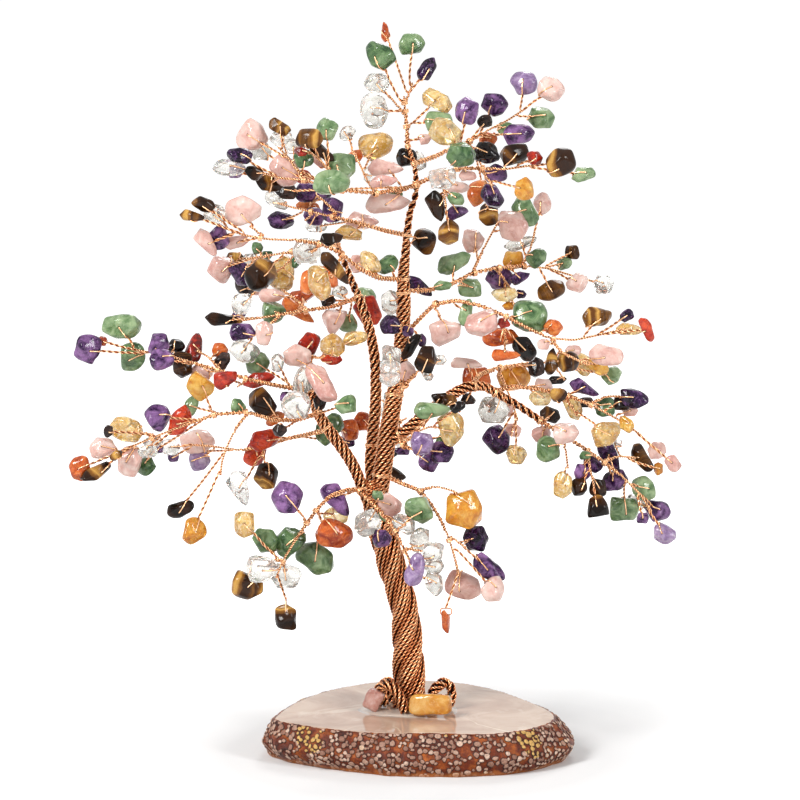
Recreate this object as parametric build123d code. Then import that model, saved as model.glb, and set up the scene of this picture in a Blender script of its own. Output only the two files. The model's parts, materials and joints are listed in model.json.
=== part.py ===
from build123d import *
import itertools
import math
import os
import random

import numpy as np

# Gemstone tree: tumbled stone chips on twisted copper wire, on a slice of agate.
# Millimetres, +Z up, +X right and -Y towards the viewer; the origin is the centre of the underside.

# Driving sizes
MM_PER_PX = 0.36
VIEW_DISTANCE = 1300.0
SLAB_THICKNESS = 15.0
RIND_WIDEST_HEIGHT = 6.0
GLUE_THICKNESS = 0.6
GLUE_LENGTH = 38.0
GLUE_WIDTH = 28.0
WIRE_DIAMETER = 0.5
TRUNK_RADIUS = 6.0
LEADER_RADIUS = 3.3
BOUGH_RADIUS = 2.2
BRANCH_RADIUS = 1.05
TWIG_RADIUS = 0.75
ROOT_RADIUS = 1.9
CHIP_MIN_THICKNESS = 2.6
HOLE_CLEARANCE = 0.06
PIVOT_CLEARANCE = 0.05
TOUCH_GAP = 0.02
FORK_GAP = 0.15
FORK_STEP = 0.1
CHIP_GAP = 0.15
SEAT_GAP = 0.05
LOOP_CLEARANCE = 0.35
LOOP_BEND = 0.8

# Angles in degrees
VIEW_PITCH = 8.0
STEM_ANGLES = (48, 38, 60, 30, 72, 85)
CHIP_TILT = 22
SWING = 35

# Shares of the sizes they follow
THICKNESS_SHARE = 0.74
LEVEL_SHARE = 0.45
STEM_SEAT_SHARE = 0.35
DROP_HOLE_SHARE = 0.62
CORNER_JITTER_SHARE = 0.10
SLIM_SHARE = 1.7
ROUNDING_SHARE = 1e-6
SWING_SHARES = (-1, -0.5, 0, 0.5, 1)
GLUE_CENTRE_SHARES = (0.0, -0.08)
CANOPY_DEPTH_SHARE = 1.4

# What the stones are, each by a letter, and those whose stones all go in one piece
A, L, R, Q, C, M = "amethyst", "pale_amethyst", "rose_quartz", "clear_quartz", "citrine", "amber_citrine"
G, T, J, K, S = "aventurine", "tigers_eye", "red_jasper", "carnelian", "smoky_quartz"
FEW = (L, M, J, K, S, C)

# Places read in the picture plane, in pixels
IMAGE_CENTRE = (400, 400)
ORIGIN_PX = (418, 752)
SLAB_HEIGHT_PX = 42
TOP_OUTLINE_PX = (
    (275, 717), (296, 702), (322, 692), (353, 685), (383, 681), (414, 680), (444, 681), (490, 688),
    (526, 700), (554, 719), (521, 730), (475, 734), (439, 733), (383, 733), (342, 730), (296, 724),
)
MIDDLE_OUTLINE_PX = (
    (261, 739), (285, 722), (315, 711), (349, 705), (382, 702), (414, 701), (446, 702), (494, 709),
    (536, 722), (576, 743), (536, 757), (481, 762), (439, 762), (382, 761), (338, 757), (284, 750),
)
UNDER_OUTLINE_PX = (
    (267, 752), (290, 740), (319, 730), (351, 724), (383, 721), (414, 720), (446, 721), (492, 727),
    (530, 738), (568, 755), (530, 772), (479, 777), (438, 778), (383, 776), (340, 771), (290, 763),
)

# Main wood: each point is x, y and how far towards the viewer, all in pixels, then its share of the radius
TRUNK = (
    (409, 708, -14, 1.02), (410, 690, -14, 1.0), (408, 658, -12, 1.0), (407, 632, -10, 0.93),
    (404, 604, -8, 0.86), (394, 575, -6, 0.86), (387, 548, -4, 0.90), (379, 518, -2, 0.86), (374, 488, 0, 0.84),
)
LEADER = (
    (380, 484, -2, 1.0), (384, 462, 0, 1.0), (388, 430, 2, 0.98), (394, 400, 0, 0.94), (399, 368, -4, 0.88),
    (402, 336, -4, 0.82), (404, 304, 0, 0.78), (403, 276, 2, 0.66), (406, 248, 0, 0.48), (409, 214, -2, 0.40),
    (417, 192, 0, 0.36), (415, 166, 2, 0.28), (408, 146, 0, 0.24),
)
LEFT_BOUGH = (
    (363, 484, 6, 1.0), (354, 466, 8, 1.0), (343, 449, 10, 1.0), (331, 433, 10, 0.98), (320, 418, 8, 0.95),
    (313, 400, 4, 0.85), (311, 378, -2, 0.75), (309, 358, -8, 0.62),
)
MIDDLE_BOUGH = (
    (372, 484, -19, 1.0), (370, 464, -22, 1.0), (372, 440, -24, 1.0), (375, 414, -24, 0.98),
    (376, 388, -22, 0.95), (375, 358, -20, 0.9), (370, 330, -20, 0.86), (363, 308, -24, 0.78),
    (354, 286, -30, 0.66), (345, 264, -34, 0.55), (337, 244, -34, 0.45),
)
RIGHT_BOUGH = (
    (397, 447, 8, 1.0), (409, 428, 14, 1.0), (426, 413, 18, 1.0), (448, 397, 18, 0.95), (466, 386, 14, 0.9),
    (484, 385, 8, 0.82), (500, 395, 6, 0.72), (518, 405, 6, 0.66), (540, 420, 4, 0.6),
)

# Branches: the first route is the branch and the rest are its twigs, and each starts on what carries it
BRANCHES = {
    "crown_spray": (
        ((408, 143, 0), (406, 118, 0), (404, 98, 2), (404, 80, 4)),
        ((406, 116, 0), (396, 104, 10), (388, 94, 16)),
        ((405, 104, 0), (412, 86, -12), (414, 70, -18)),
        ((407, 128, 0), (418, 118, -10), (426, 108, -16)),
    ),
    "upper_left_branch": (
        ((411, 187, 6), (396, 190, 14), (376, 193, 24), (350, 191, 34), (328, 188, 42), (306, 180, 46),
         (280, 178, 48), (256, 170, 46)),
        ((350, 189, 34), (334, 176, 44), (322, 162, 52), (310, 152, 56)),
        ((306, 177, 46), (292, 163, 40), (280, 148, 34), (268, 140, 30)),
        ((376, 191, 24), (366, 178, 8), (360, 164, -4), (352, 150, -12)),
    ),
    "back_left_branch": (
        ((400, 234, -8), (384, 230, -24), (364, 224, -42), (340, 218, -58), (314, 212, -70), (288, 206, -78),
         (262, 198, -84)),
        ((340, 216, -58), (326, 202, -66), (312, 192, -74)),
        ((314, 214, -70), (298, 226, -78), (282, 236, -84)),
    ),
    "left_front_branch": (
        ((396, 282, 10), (378, 278, 26), (358, 268, 40), (342, 254, 50), (322, 244, 58), (296, 240, 64),
         (268, 239, 68), (244, 235, 70), (220, 226, 70)),
        ((322, 246, 58), (304, 258, 66), (286, 268, 70), (266, 276, 70)),
        ((268, 237, 68), (250, 226, 74), (232, 216, 78)),
        ((342, 256, 50), (334, 270, 62), (324, 284, 70), (312, 294, 74)),
    ),
    "left_middle_branch": (
        ((356, 300, -28), (334, 306, -24), (308, 310, -20), (282, 314, -18), (258, 318, -18), (236, 321, -20)),
        ((308, 308, -20), (292, 296, -28), (274, 284, -36), (254, 276, -40)),
        ((282, 316, -18), (266, 328, -8), (250, 338, 0), (236, 344, 4)),
    ),
    "left_back_branch": (
        ((338, 240, -38), (322, 244, -52), (300, 250, -66), (276, 254, -78), (252, 258, -88), (230, 260, -94)),
        ((300, 252, -66), (284, 266, -80), (268, 278, -90), (250, 288, -96)),
    ),
    "left_tip_branch": (
        ((306, 392, 6), (290, 388, 8), (270, 384, 12), (248, 379, 16), (222, 371, 18), (194, 363, 18),
         (168, 355, 16), (142, 351, 14), (118, 346, 12)),
        ((248, 381, 16), (232, 390, 26), (216, 396, 32)),
        ((222, 369, 18), (208, 356, 8), (196, 350, 2)),
    ),
    "left_shoulder_branch": (
        ((307, 352, -8), (298, 344, -6), (290, 334, 2), (284, 322, 10)),
        ((309, 368, -4), (322, 358, 14), (330, 346, 24)),
    ),
    "low_left_branch": (
        ((318, 412, 14), (298, 420, 20), (274, 420, 26), (248, 412, 30), (216, 414, 32), (184, 425, 32),
         (156, 436, 30), (132, 446, 26), (112, 454, 22)),
        ((248, 414, 30), (236, 428, 40), (228, 444, 46), (222, 460, 48), (220, 480, 46), (216, 492, 42)),
        ((156, 434, 30), (142, 432, 20), (130, 434, 14)),
        ((216, 412, 32), (206, 404, 24), (198, 398, 18)),
    ),
    "low_left_back_branch": (
        ((326, 431, -2), (308, 434, -16), (288, 438, -30), (264, 446, -42), (240, 450, -52), (212, 446, -60),
         (184, 444, -66)),
        ((264, 448, -42), (262, 460, -48), (262, 470, -52)),
    ),
    "hanging_left_spray": (
        ((362, 494, 12), (346, 490, 22), (330, 496, 30), (318, 508, 36), (306, 524, 40), (294, 542, 42),
         (282, 562, 42), (276, 578, 40)),
        ((306, 522, 40), (300, 512, 50), (294, 506, 56)),
        ((318, 510, 36), (322, 524, 28), (324, 538, 22)),
        ((282, 560, 42), (270, 560, 52), (262, 574, 58)),
    ),
    "front_spray": (
        ((376, 506, 19), (382, 512, 30), (388, 520, 38), (396, 532, 44), (404, 548, 48), (412, 564, 50),
         (424, 578, 50)),
        ((396, 530, 44), (408, 522, 52), (416, 516, 56)),
        ((404, 548, 48), (420, 550, 54), (432, 556, 56)),
    ),
    "hanging_right_spray": (
        ((390, 478, 8), (404, 484, 16), (420, 490, 24), (430, 502, 30), (440, 518, 34), (448, 536, 36),
         (454, 554, 36), (458, 574, 34)),
        ((420, 488, 24), (436, 486, 34), (452, 490, 40), (466, 498, 42)),
        ((448, 534, 36), (464, 546, 40), (478, 558, 42)),
    ),
    "crotch_spray": (
        ((392, 440, 12), (402, 444, 26), (414, 450, 38), (426, 454, 46)),
        ((402, 442, 26), (416, 432, 36), (430, 426, 42), (442, 428, 46)),
    ),
    "back_trunk_spray": (
        ((384, 446, -18), (392, 440, -40), (398, 424, -58), (398, 402, -70), (396, 380, -78)),
        ((392, 442, -40), (388, 458, -54), (384, 468, -62)),
        ((398, 424, -58), (412, 414, -72), (428, 404, -82)),
    ),
    "centre_front_spray": (
        ((397, 398, 10), (404, 386, 24), (414, 374, 34), (426, 366, 40), (440, 362, 44)),
        ((404, 388, 24), (396, 380, 34), (392, 372, 40)),
    ),
    "right_lower_branch": (
        ((497, 387, 8), (514, 386, 16), (536, 388, 24), (562, 393, 32), (590, 404, 38), (616, 418, 40),
         (640, 434, 40), (656, 448, 38)),
        ((562, 395, 32), (574, 410, 42), (584, 428, 48), (590, 446, 50)),
        ((590, 402, 38), (606, 396, 44), (620, 396, 48)),
    ),
    "right_bough_tip": (
        ((543, 422, 4), (562, 434, 4), (584, 448, 4), (604, 462, 4), (622, 476, 4), (640, 494, 2),
         (652, 512, 0)),
        ((562, 436, 4), (566, 452, 10), (568, 468, 14)),
        ((584, 450, 4), (590, 468, 14), (594, 486, 20)),
        ((604, 460, 4), (620, 456, -8), (638, 458, -16)),
    ),
    "right_back_branch": (
        ((468, 384, 4), (480, 374, -18), (498, 368, -40), (524, 364, -58), (552, 362, -72), (580, 360, -82),
         (604, 358, -88)),
        ((498, 370, -40), (508, 392, -54), (516, 414, -62), (522, 436, -66)),
        ((552, 364, -72), (566, 382, -84), (582, 398, -92)),
        ((552, 360, -72), (560, 350, -66), (570, 340, -62)),
    ),
    "right_middle_branch": (
        ((407, 338, 2), (420, 318, 8), (434, 304, 16), (456, 300, 24), (480, 305, 32), (504, 315, 38),
         (528, 328, 42), (550, 338, 44), (574, 340, 46), (602, 334, 46), (628, 328, 44)),
        ((504, 317, 38), (504, 332, 48), (508, 346, 54)),
        ((434, 306, 16), (442, 318, 30), (450, 328, 38)),
        ((550, 340, 44), (562, 352, 54), (578, 360, 60), (594, 368, 62)),
    ),
    "right_upper_branch": (
        ((409, 290, -4), (430, 290, -14), (452, 284, -26), (472, 273, -36), (496, 268, -46), (522, 266, -54),
         (548, 268, -60), (574, 276, -64), (596, 282, -66)),
        ((472, 271, -36), (480, 256, -40), (488, 240, -42), (498, 222, -42), (510, 208, -40)),
        ((496, 270, -46), (506, 282, -58), (514, 294, -66)),
        ((522, 264, -54), (530, 250, -60), (534, 236, -64), (536, 220, -66)),
    ),
    "upper_right_branch": (
        ((421, 184, 4), (436, 175, 12), (456, 168, 20), (480, 168, 26), (506, 169, 30), (532, 165, 32),
         (556, 166, 32)),
        ((456, 166, 20), (458, 150, 30), (452, 138, 36)),
        ((436, 177, 12), (444, 190, 28), (446, 206, 38), (444, 222, 44)),
        ((480, 170, 26), (492, 184, 36), (502, 198, 42), (508, 212, 44)),
    ),
    "upper_right_back_spray": (
        ((420, 162, -6), (436, 156, -22), (452, 148, -36), (468, 142, -46), (488, 130, -56), (508, 120, -62),
         (526, 108, -66), (538, 98, -68)),
        ((468, 144, -46), (478, 158, -58), (486, 176, -66), (484, 196, -70)),
    ),
}

# Bundle ends at the foot: they stand on the glue, arch and come down again
ROOTS = {
    "root_front_left": (
        (384, 705, -16), (381, 692, -10), (383, 683, 0), (392, 684, 8), (400, 696, 14), (405, 713, 15),
    ),
    "root_right": ((433, 706, -14), (432, 688, -14), (438, 678, -12), (446, 683, -10), (449, 707, -10)),
    "root_back_left": ((392, 704, -38), (391, 686, -37), (385, 677, -35), (378, 684, -33), (376, 705, -32)),
}

# Stones glued at the foot: x, y, long and short width, turn
FOOT_STONES = {
    "rose_quartz_foot_chip": (374, 702, 22, 18, 60),
    "citrine_foot_chip": (431, 705, 43, 22, 0),
}

# Stones that hang in an open eye of wire: x and y of the middle, towards the viewer, long and short width,
# the hinge's direction, and the fork on the branch
DROPS = {
    "carnelian_drop": (446, 622, 56, 24, 8, (1, 0, 0), (455, 574, 48)),
    "tigers_eye_drop": (286, 619, 84, 28, 20, (0, 1, 0), (276, 574, 58)),
}

# Stones: kind, x and y of the middle, long and short width, and the turn of the long axis in degrees
STONES_UPPER = (
    (K, 385, 31, 20, 9, 90), (G, 379, 55, 33, 23, -20), (Q, 377, 82, 22, 20, 0), (Q, 374, 110, 32, 28, 90),
    (G, 412, 43, 24, 23, 0), (A, 427, 69, 26, 15, 60), (C, 437, 100, 32, 18, -25), (C, 376, 145, 34, 28, 20),
    (K, 355, 156, 14, 12, 0), (S, 401, 153, 20, 18, 0), (R, 251, 137, 28, 26, 45), (T, 280, 127, 24, 14, -25),
    (T, 308, 138, 28, 17, -5), (G, 327, 130, 22, 21, -20), (Q, 347, 133, 18, 12, 60), (A, 239, 156, 26, 16, 0),
    (Q, 230, 168, 30, 17, 0), (L, 234, 172, 16, 10, 0), (T, 254, 173, 18, 13, 0), (T, 270, 183, 28, 16, -5),
    (S, 285, 191, 24, 16, 0), (R, 285, 170, 30, 24, -60), (Q, 261, 151, 20, 16, 0), (Q, 282, 139, 22, 16, 0),
    (Q, 295, 146, 20, 14, 0), (J, 302, 151, 14, 10, 0), (G, 304, 159, 19, 16, 25), (T, 322, 152, 26, 13, -35),
    (G, 341, 166, 30, 28, 90), (G, 331, 182, 36, 24, 10), (J, 303, 176, 17, 14, 0), (R, 318, 161, 16, 9, -50),
    (A, 313, 193, 38, 20, -5), (A, 332, 210, 24, 20, 80), (A, 314, 216, 20, 18, 0), (K, 308, 206, 24, 12, -15),
    (Q, 276, 201, 28, 14, -35), (Q, 317, 226, 22, 12, 0), (A, 281, 221, 28, 18, -15), (R, 275, 231, 20, 10, 0),
    (L, 315, 234, 16, 14, -50), (T, 332, 238, 24, 13, 15), (R, 243, 211, 34, 28, 20), (R, 363, 221, 32, 18, 0),
    (R, 387, 203, 42, 20, 3), (G, 396, 194, 14, 9, 0), (R, 388, 167, 36, 16, 0), (R, 383, 181, 28, 12, 0),
    (Q, 368, 175, 16, 9, 90), (C, 351, 234, 28, 16, -15), (A, 419, 286, 30, 14, -38), (G, 454, 262, 36, 20, 25),
    (T, 425, 241, 26, 24, -50), (T, 449, 231, 24, 20, -90), (T, 436, 206, 32, 18, -75), (A, 458, 212, 24, 14, 10),
    (G, 456, 198, 16, 12, 0), (K, 478, 191, 30, 20, 80), (R, 457, 187, 26, 12, -10), (Q, 442, 178, 28, 22, 0),
    (R, 468, 175, 18, 10, 0), (A, 496, 174, 20, 18, 25), (A, 495, 196, 26, 20, -55), (T, 489, 213, 28, 20, 90),
    (R, 474, 241, 24, 22, 0), (R, 512, 227, 30, 30, 0), (Q, 522, 242, 36, 14, 15), (G, 526, 211, 32, 22, -60),
    (M, 524, 189, 22, 18, 90), (R, 542, 203, 23, 19, 90), (T, 561, 163, 26, 26, 0), (G, 584, 174, 26, 15, 10),
    (J, 534, 158, 16, 12, 0), (T, 515, 154, 26, 22, 0), (S, 487, 153, 26, 21, 0), (K, 489, 139, 22, 14, 0),
    (A, 519, 134, 32, 20, 5), (G, 505, 128, 16, 12, 0), (G, 461, 154, 26, 24, 0), (C, 446, 131, 28, 26, 0),
    (G, 438, 122, 26, 20, 0), (R, 425, 138, 12, 12, 0), (Q, 420, 160, 20, 12, 90), (A, 467, 110, 26, 23, 90),
    (A, 495, 105, 25, 24, 0), (S, 485, 121, 16, 14, 0), (L, 524, 84, 26, 24, 0), (R, 552, 89, 26, 22, -20),
    (G, 541, 117, 26, 22, 0),
)
STONES_LEFT = (
    (T, 203, 204, 22, 14, -15), (T, 193, 216, 26, 11, -10), (Q, 215, 214, 22, 20, 0), (A, 219, 238, 22, 17, -60),
    (R, 207, 244, 30, 16, -60), (R, 236, 242, 26, 12, 15), (R, 221, 268, 28, 24, 60), (T, 235, 259, 20, 16, 0),
    (A, 242, 274, 26, 18, -60), (S, 244, 288, 24, 16, -55), (Q, 252, 262, 20, 16, 0), (T, 261, 274, 34, 30, 45),
    (R, 257, 287, 18, 16, 0), (G, 257, 248, 12, 12, 0), (G, 267, 255, 12, 9, 0), (G, 296, 262, 12, 9, 90),
    (C, 282, 271, 40, 25, 80), (C, 319, 281, 36, 20, 100), (Q, 307, 251, 26, 24, 0), (R, 272, 295, 26, 14, 0),
    (K, 307, 280, 24, 14, 90), (K, 303, 297, 32, 18, 20), (T, 336, 268, 38, 14, -50), (K, 330, 277, 24, 16, -50),
    (Q, 339, 292, 16, 14, 0), (T, 328, 300, 14, 12, 0), (Q, 243, 304, 22, 20, 0), (G, 273, 311, 24, 22, 0),
    (K, 296, 310, 40, 16, -35), (R, 334, 319, 26, 22, 60), (G, 348, 323, 24, 21, 0), (J, 369, 311, 32, 24, -60),
    (G, 365, 298, 22, 20, 0), (C, 355, 338, 24, 14, 15), (Q, 390, 303, 24, 18, 90), (A, 390, 325, 18, 18, 0),
    (C, 370, 262, 24, 18, -50), (G, 387, 265, 24, 16, 45), (R, 357, 264, 16, 16, 0), (T, 226, 320, 38, 13, -5),
    (A, 242, 332, 24, 18, 0), (A, 239, 314, 14, 9, 0), (R, 264, 334, 24, 17, 90), (Q, 244, 351, 30, 22, 0),
    (K, 220, 350, 16, 15, 0), (S, 222, 361, 20, 14, 50), (G, 258, 362, 24, 24, 0), (J, 258, 380, 34, 16, 10),
    (Q, 278, 363, 18, 12, 90), (A, 88, 350, 30, 25, 75), (K, 103, 341, 9, 9, 0), (G, 121, 327, 34, 24, 12),
    (G, 133, 357, 28, 26, 90), (A, 157, 344, 20, 19, 0), (A, 161, 359, 23, 22, 0), (S, 175, 347, 17, 16, 0),
    (T, 182, 364, 25, 20, 95), (J, 195, 347, 32, 18, 80), (R, 202, 372, 22, 14, 0), (M, 200, 385, 26, 25, -35),
    (J, 224, 378, 28, 16, 30), (G, 191, 406, 20, 14, 80), (T, 262, 402, 30, 24, -45), (G, 238, 406, 16, 14, 0),
    (A, 287, 399, 14, 14, 0), (K, 275, 418, 20, 12, 25), (S, 280, 430, 14, 14, 0), (Q, 303, 381, 26, 20, 90),
    (Q, 297, 406, 28, 26, 0), (R, 326, 386, 46, 20, -60), (R, 297, 356, 28, 22, -20), (J, 310, 344, 26, 25, 0),
    (C, 332, 345, 24, 20, -30), (J, 331, 359, 22, 13, -5), (G, 336, 393, 18, 10, 90), (G, 347, 404, 24, 16, 10),
    (G, 325, 424, 35, 22, 40), (S, 319, 403, 14, 14, 0), (K, 349, 430, 20, 20, 0), (K, 362, 421, 20, 19, 0),
    (A, 348, 441, 16, 14, 0), (K, 80, 468, 23, 20, 55), (T, 99, 471, 36, 14, 32), (R, 103, 448, 28, 22, -5),
    (T, 116, 455, 14, 9, 30), (C, 126, 429, 32, 24, -15), (S, 108, 431, 12, 9, 90), (R, 131, 461, 28, 24, 75),
    (G, 145, 466, 20, 18, 50), (A, 158, 417, 26, 24, 50), (J, 179, 422, 34, 20, 65), (Q, 154, 442, 20, 12, 0),
    (Q, 148, 451, 18, 12, 0), (Q, 170, 447, 22, 16, 0), (A, 157, 449, 12, 9, 0), (A, 173, 456, 12, 12, 0),
    (R, 198, 441, 34, 26, 0), (L, 199, 460, 20, 20, 0), (A, 203, 450, 12, 12, 0), (J, 265, 439, 34, 20, 15),
    (J, 255, 454, 26, 20, 70), (T, 267, 476, 28, 22, 70), (Q, 241, 489, 38, 22, -65), (T, 181, 509, 28, 16, 20),
    (M, 193, 530, 26, 22, 20), (C, 244, 523, 26, 18, 90), (A, 287, 497, 30, 28, 60), (A, 337, 499, 38, 22, -50),
    (C, 336, 515, 24, 16, 0), (K, 335, 534, 35, 28, -15), (G, 315, 557, 40, 26, -40), (G, 290, 543, 32, 26, 45),
    (G, 265, 541, 26, 24, 0), (Q, 260, 568, 30, 26, 0), (Q, 286, 575, 28, 26, 0), (T, 248, 586, 30, 28, -20),
    (G, 378, 495, 12, 9, 0),
)
STONES_RIGHT = (
    (Q, 367, 523, 26, 24, 20), (A, 382, 538, 18, 17, 0), (G, 384, 516, 14, 9, -20), (R, 389, 505, 22, 18, -40),
    (Q, 405, 524, 24, 18, -35), (G, 419, 508, 28, 25, -30), (Q, 421, 542, 26, 20, 90), (Q, 435, 551, 22, 20, 0),
    (Q, 433, 566, 20, 14, 0), (Q, 434, 583, 24, 18, 90), (L, 415, 570, 32, 18, 70), (M, 465, 506, 40, 38, 90),
    (A, 476, 538, 24, 24, 0), (A, 489, 568, 34, 20, -38), (R, 461, 585, 36, 24, -20), (R, 492, 589, 24, 24, 0),
    (Q, 398, 438, 24, 20, 0), (A, 400, 448, 22, 14, 0), (L, 422, 442, 22, 22, 0), (C, 451, 430, 32, 24, 100),
    (G, 443, 437, 24, 10, 60), (A, 442, 452, 22, 20, 0), (A, 428, 461, 20, 20, 0), (S, 386, 454, 22, 10, 0),
    (T, 388, 472, 40, 16, -15), (G, 433, 410, 36, 18, 5), (T, 439, 398, 16, 11, 0), (T, 450, 400, 14, 11, 0),
    (S, 458, 407, 16, 10, 30), (S, 468, 399, 14, 12, 0), (K, 475, 380, 30, 24, 0), (Q, 494, 409, 30, 28, 0),
    (R, 509, 406, 20, 10, 90), (A, 498, 438, 28, 26, -50), (Q, 391, 356, 24, 18, 90), (Q, 390, 372, 26, 18, 90),
    (Q, 390, 400, 20, 16, 90), (Q, 387, 412, 14, 14, 0), (R, 407, 371, 22, 18, 90), (T, 427, 359, 26, 20, 60),
    (Q, 440, 360, 12, 10, 0), (Q, 428, 375, 12, 10, 0), (R, 468, 363, 34, 10, -3), (T, 412, 344, 30, 12, 55),
    (A, 408, 331, 12, 10, 0), (A, 422, 340, 12, 9, 90), (R, 446, 332, 30, 26, 30), (G, 537, 258, 22, 17, 25),
    (M, 513, 261, 20, 18, 0), (A, 499, 277, 24, 22, 0), (A, 520, 277, 22, 12, 30), (T, 552, 290, 28, 20, 35),
    (G, 564, 263, 16, 14, 0), (T, 572, 252, 15, 14, 0), (R, 577, 284, 22, 18, 40), (Q, 604, 285, 20, 19, 0),
    (C, 505, 294, 24, 16, 0), (A, 521, 294, 12, 9, 0), (G, 529, 317, 33, 30, 0), (G, 471, 288, 26, 18, 0),
    (G, 443, 285, 20, 10, 0), (G, 466, 311, 28, 14, 80), (R, 482, 324, 32, 24, 15), (M, 512, 306, 20, 9, 0),
    (J, 504, 323, 12, 10, 0), (K, 502, 337, 35, 20, 0), (K, 553, 327, 18, 17, 0), (K, 505, 355, 28, 12, 0),
    (S, 525, 349, 28, 18, -50), (R, 543, 344, 12, 10, 0), (T, 552, 361, 26, 15, 85), (T, 568, 361, 22, 22, 0),
    (S, 536, 367, 20, 16, 90), (T, 598, 317, 30, 20, 0), (A, 627, 315, 14, 10, 30), (C, 630, 329, 30, 12, -5),
    (J, 647, 329, 28, 11, -70), (R, 576, 351, 16, 12, 0), (R, 607, 356, 34, 20, -15), (C, 586, 365, 26, 16, 90),
    (M, 598, 365, 24, 18, -50), (G, 612, 376, 23, 16, 20), (M, 514, 378, 30, 26, 0), (R, 543, 386, 18, 16, 0),
    (S, 558, 380, 22, 9, 0), (A, 585, 388, 28, 15, -25), (A, 634, 398, 28, 18, -25), (S, 622, 403, 16, 14, 0),
    (G, 605, 407, 22, 18, 90), (C, 541, 397, 22, 16, 0), (T, 559, 395, 16, 14, 0), (C, 573, 407, 26, 16, -70),
    (S, 585, 402, 16, 10, 0), (T, 548, 415, 22, 14, -20), (R, 512, 430, 18, 14, 0), (R, 536, 430, 20, 16, 0),
    (R, 566, 433, 24, 22, 0), (C, 517, 455, 20, 18, 0), (G, 548, 449, 26, 24, 90), (C, 607, 433, 28, 26, 0),
    (Q, 615, 443, 14, 10, 0), (M, 627, 424, 18, 14, 90), (R, 630, 411, 14, 12, 0), (T, 641, 458, 34, 16, -55),
    (R, 657, 450, 18, 16, 0), (R, 673, 463, 16, 12, -60), (M, 658, 469, 12, 9, 90), (A, 610, 455, 34, 18, -55),
    (A, 592, 464, 20, 14, -45), (G, 585, 455, 12, 9, 0), (A, 582, 472, 18, 16, 0), (A, 615, 481, 26, 20, 10),
    (C, 563, 484, 26, 18, 90), (T, 579, 487, 18, 18, 0), (T, 598, 487, 20, 16, 90), (T, 598, 507, 24, 20, 90),
    (G, 624, 507, 28, 26, 0), (Q, 636, 502, 18, 16, 0), (G, 644, 489, 24, 22, -40), (A, 657, 511, 28, 22, 0),
    (A, 642, 518, 12, 10, 0), (L, 664, 533, 24, 20, -25),
)

STONES = (("upper", STONES_UPPER), ("left", STONES_LEFT), ("right", STONES_RIGHT))

# How far the stones of a branch stand in front of it and behind it, in pixels
DEPTHS_PX = (9, -9, 20, -20, 3, 30, -30)
DEPTH_STEP_PX = 3
DEPTH_REACH_PX = 66
SIDE_STEPS_PX = ((0, 0), (3, 0), (-3, 0), (0, 3), (0, -3), (5, 4), (-5, -4), (5, -4), (-5, 4))

# The picture's pinhole, set so that the origin shows at its pixel
PITCH = math.radians(VIEW_PITCH)
FORWARD = np.array((0, math.cos(PITCH), -math.sin(PITCH)))
UPWARD = np.array((0, math.sin(PITCH), math.cos(PITCH)))
RIGHTWARD = np.array((1, 0, 0))
FOCAL_PX = VIEW_DISTANCE / MM_PER_PX
BELOW_PX = ORIGIN_PX[1] - IMAGE_CENTRE[1]
ASIDE_PX = ORIGIN_PX[0] - IMAGE_CENTRE[0]
AIM_HEIGHT = BELOW_PX * VIEW_DISTANCE / (FOCAL_PX * math.cos(PITCH) - BELOW_PX * math.sin(PITCH))
AIM_ASIDE = -ASIDE_PX * (VIEW_DISTANCE + AIM_HEIGHT * math.sin(PITCH)) / FOCAL_PX
EYE = np.array((AIM_ASIDE, 0, AIM_HEIGHT)) - VIEW_DISTANCE * FORWARD

# Sizes worked out from the ones above
WIRE_RADIUS = WIRE_DIAMETER / 2
STEM_RADIUS = WIRE_DIAMETER
GLUE_TOP = SLAB_THICKNESS + GLUE_THICKNESS
LIFT = SLAB_THICKNESS - SLAB_HEIGHT_PX * MM_PER_PX


def sight(px, py):
    """The direction in which the eye sees a pixel."""
    across = (px - IMAGE_CENTRE[0]) / FOCAL_PX
    down = (py - IMAGE_CENTRE[1]) / FOCAL_PX
    return FORWARD + across * RIGHTWARD - down * UPWARD


def seen(px, py, near):
    """The point seen at a pixel, so many pixels nearer than the middle of the tree."""
    line = sight(px, py)
    point = EYE + line * (-near * MM_PER_PX - EYE[1]) / line[1]
    return point + np.array((0, 0, LIFT))


def on_level(px, py, height):
    """The point seen at a pixel on a level plane."""
    line = sight(px, py)
    return EYE + line * (height - EYE[2]) / line[2]


def unit(v):
    return v / np.linalg.norm(v)


def nearest_on(route, point):
    """The nearest point of a route: distance, point, direction, radius there, run and share of the run."""
    best = None
    for k in range(len(route) - 1):
        p, q = route[k][0], route[k + 1][0]
        share = float(np.clip(np.dot(point - p, q - p) / np.dot(q - p, q - p), 0, 1))
        here = p + share * (q - p)
        gap = float(np.linalg.norm(point - here))
        if best is None or gap < best[0]:
            radius = route[k][1] + share * (route[k + 1][1] - route[k][1])
            best = (gap, here, unit(q - p), radius, k, share)
    return best


def end_of(route, spot):
    """1 where the spot is the route's last point, -1 where it is the first, and else 0."""
    if np.allclose(spot, route[-1][0]):
        return 1
    return -1 if np.allclose(spot, route[0][0]) else 0


def fork(route, spot, target, radius, gap=TOUCH_GAP):
    """Where a wire of this radius, on its way from a spot on the route's middle line, comes clear of the route."""
    heading = unit(target - spot)
    reach = 0
    while True:
        reach += FORK_STEP
        start = spot + heading * reach
        distance, foot, along, carrier_radius = nearest_on(route, start)[:4]
        slope = abs(float(np.dot(heading, along)))
        beyond = float(np.dot(start - foot, along)) * end_of(route, foot)
        if beyond > gap + radius * math.sqrt(max(1 - slope * slope, 0)):
            return start
        if distance > carrier_radius + gap + radius * slope and beyond <= 0:
            return start


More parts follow.
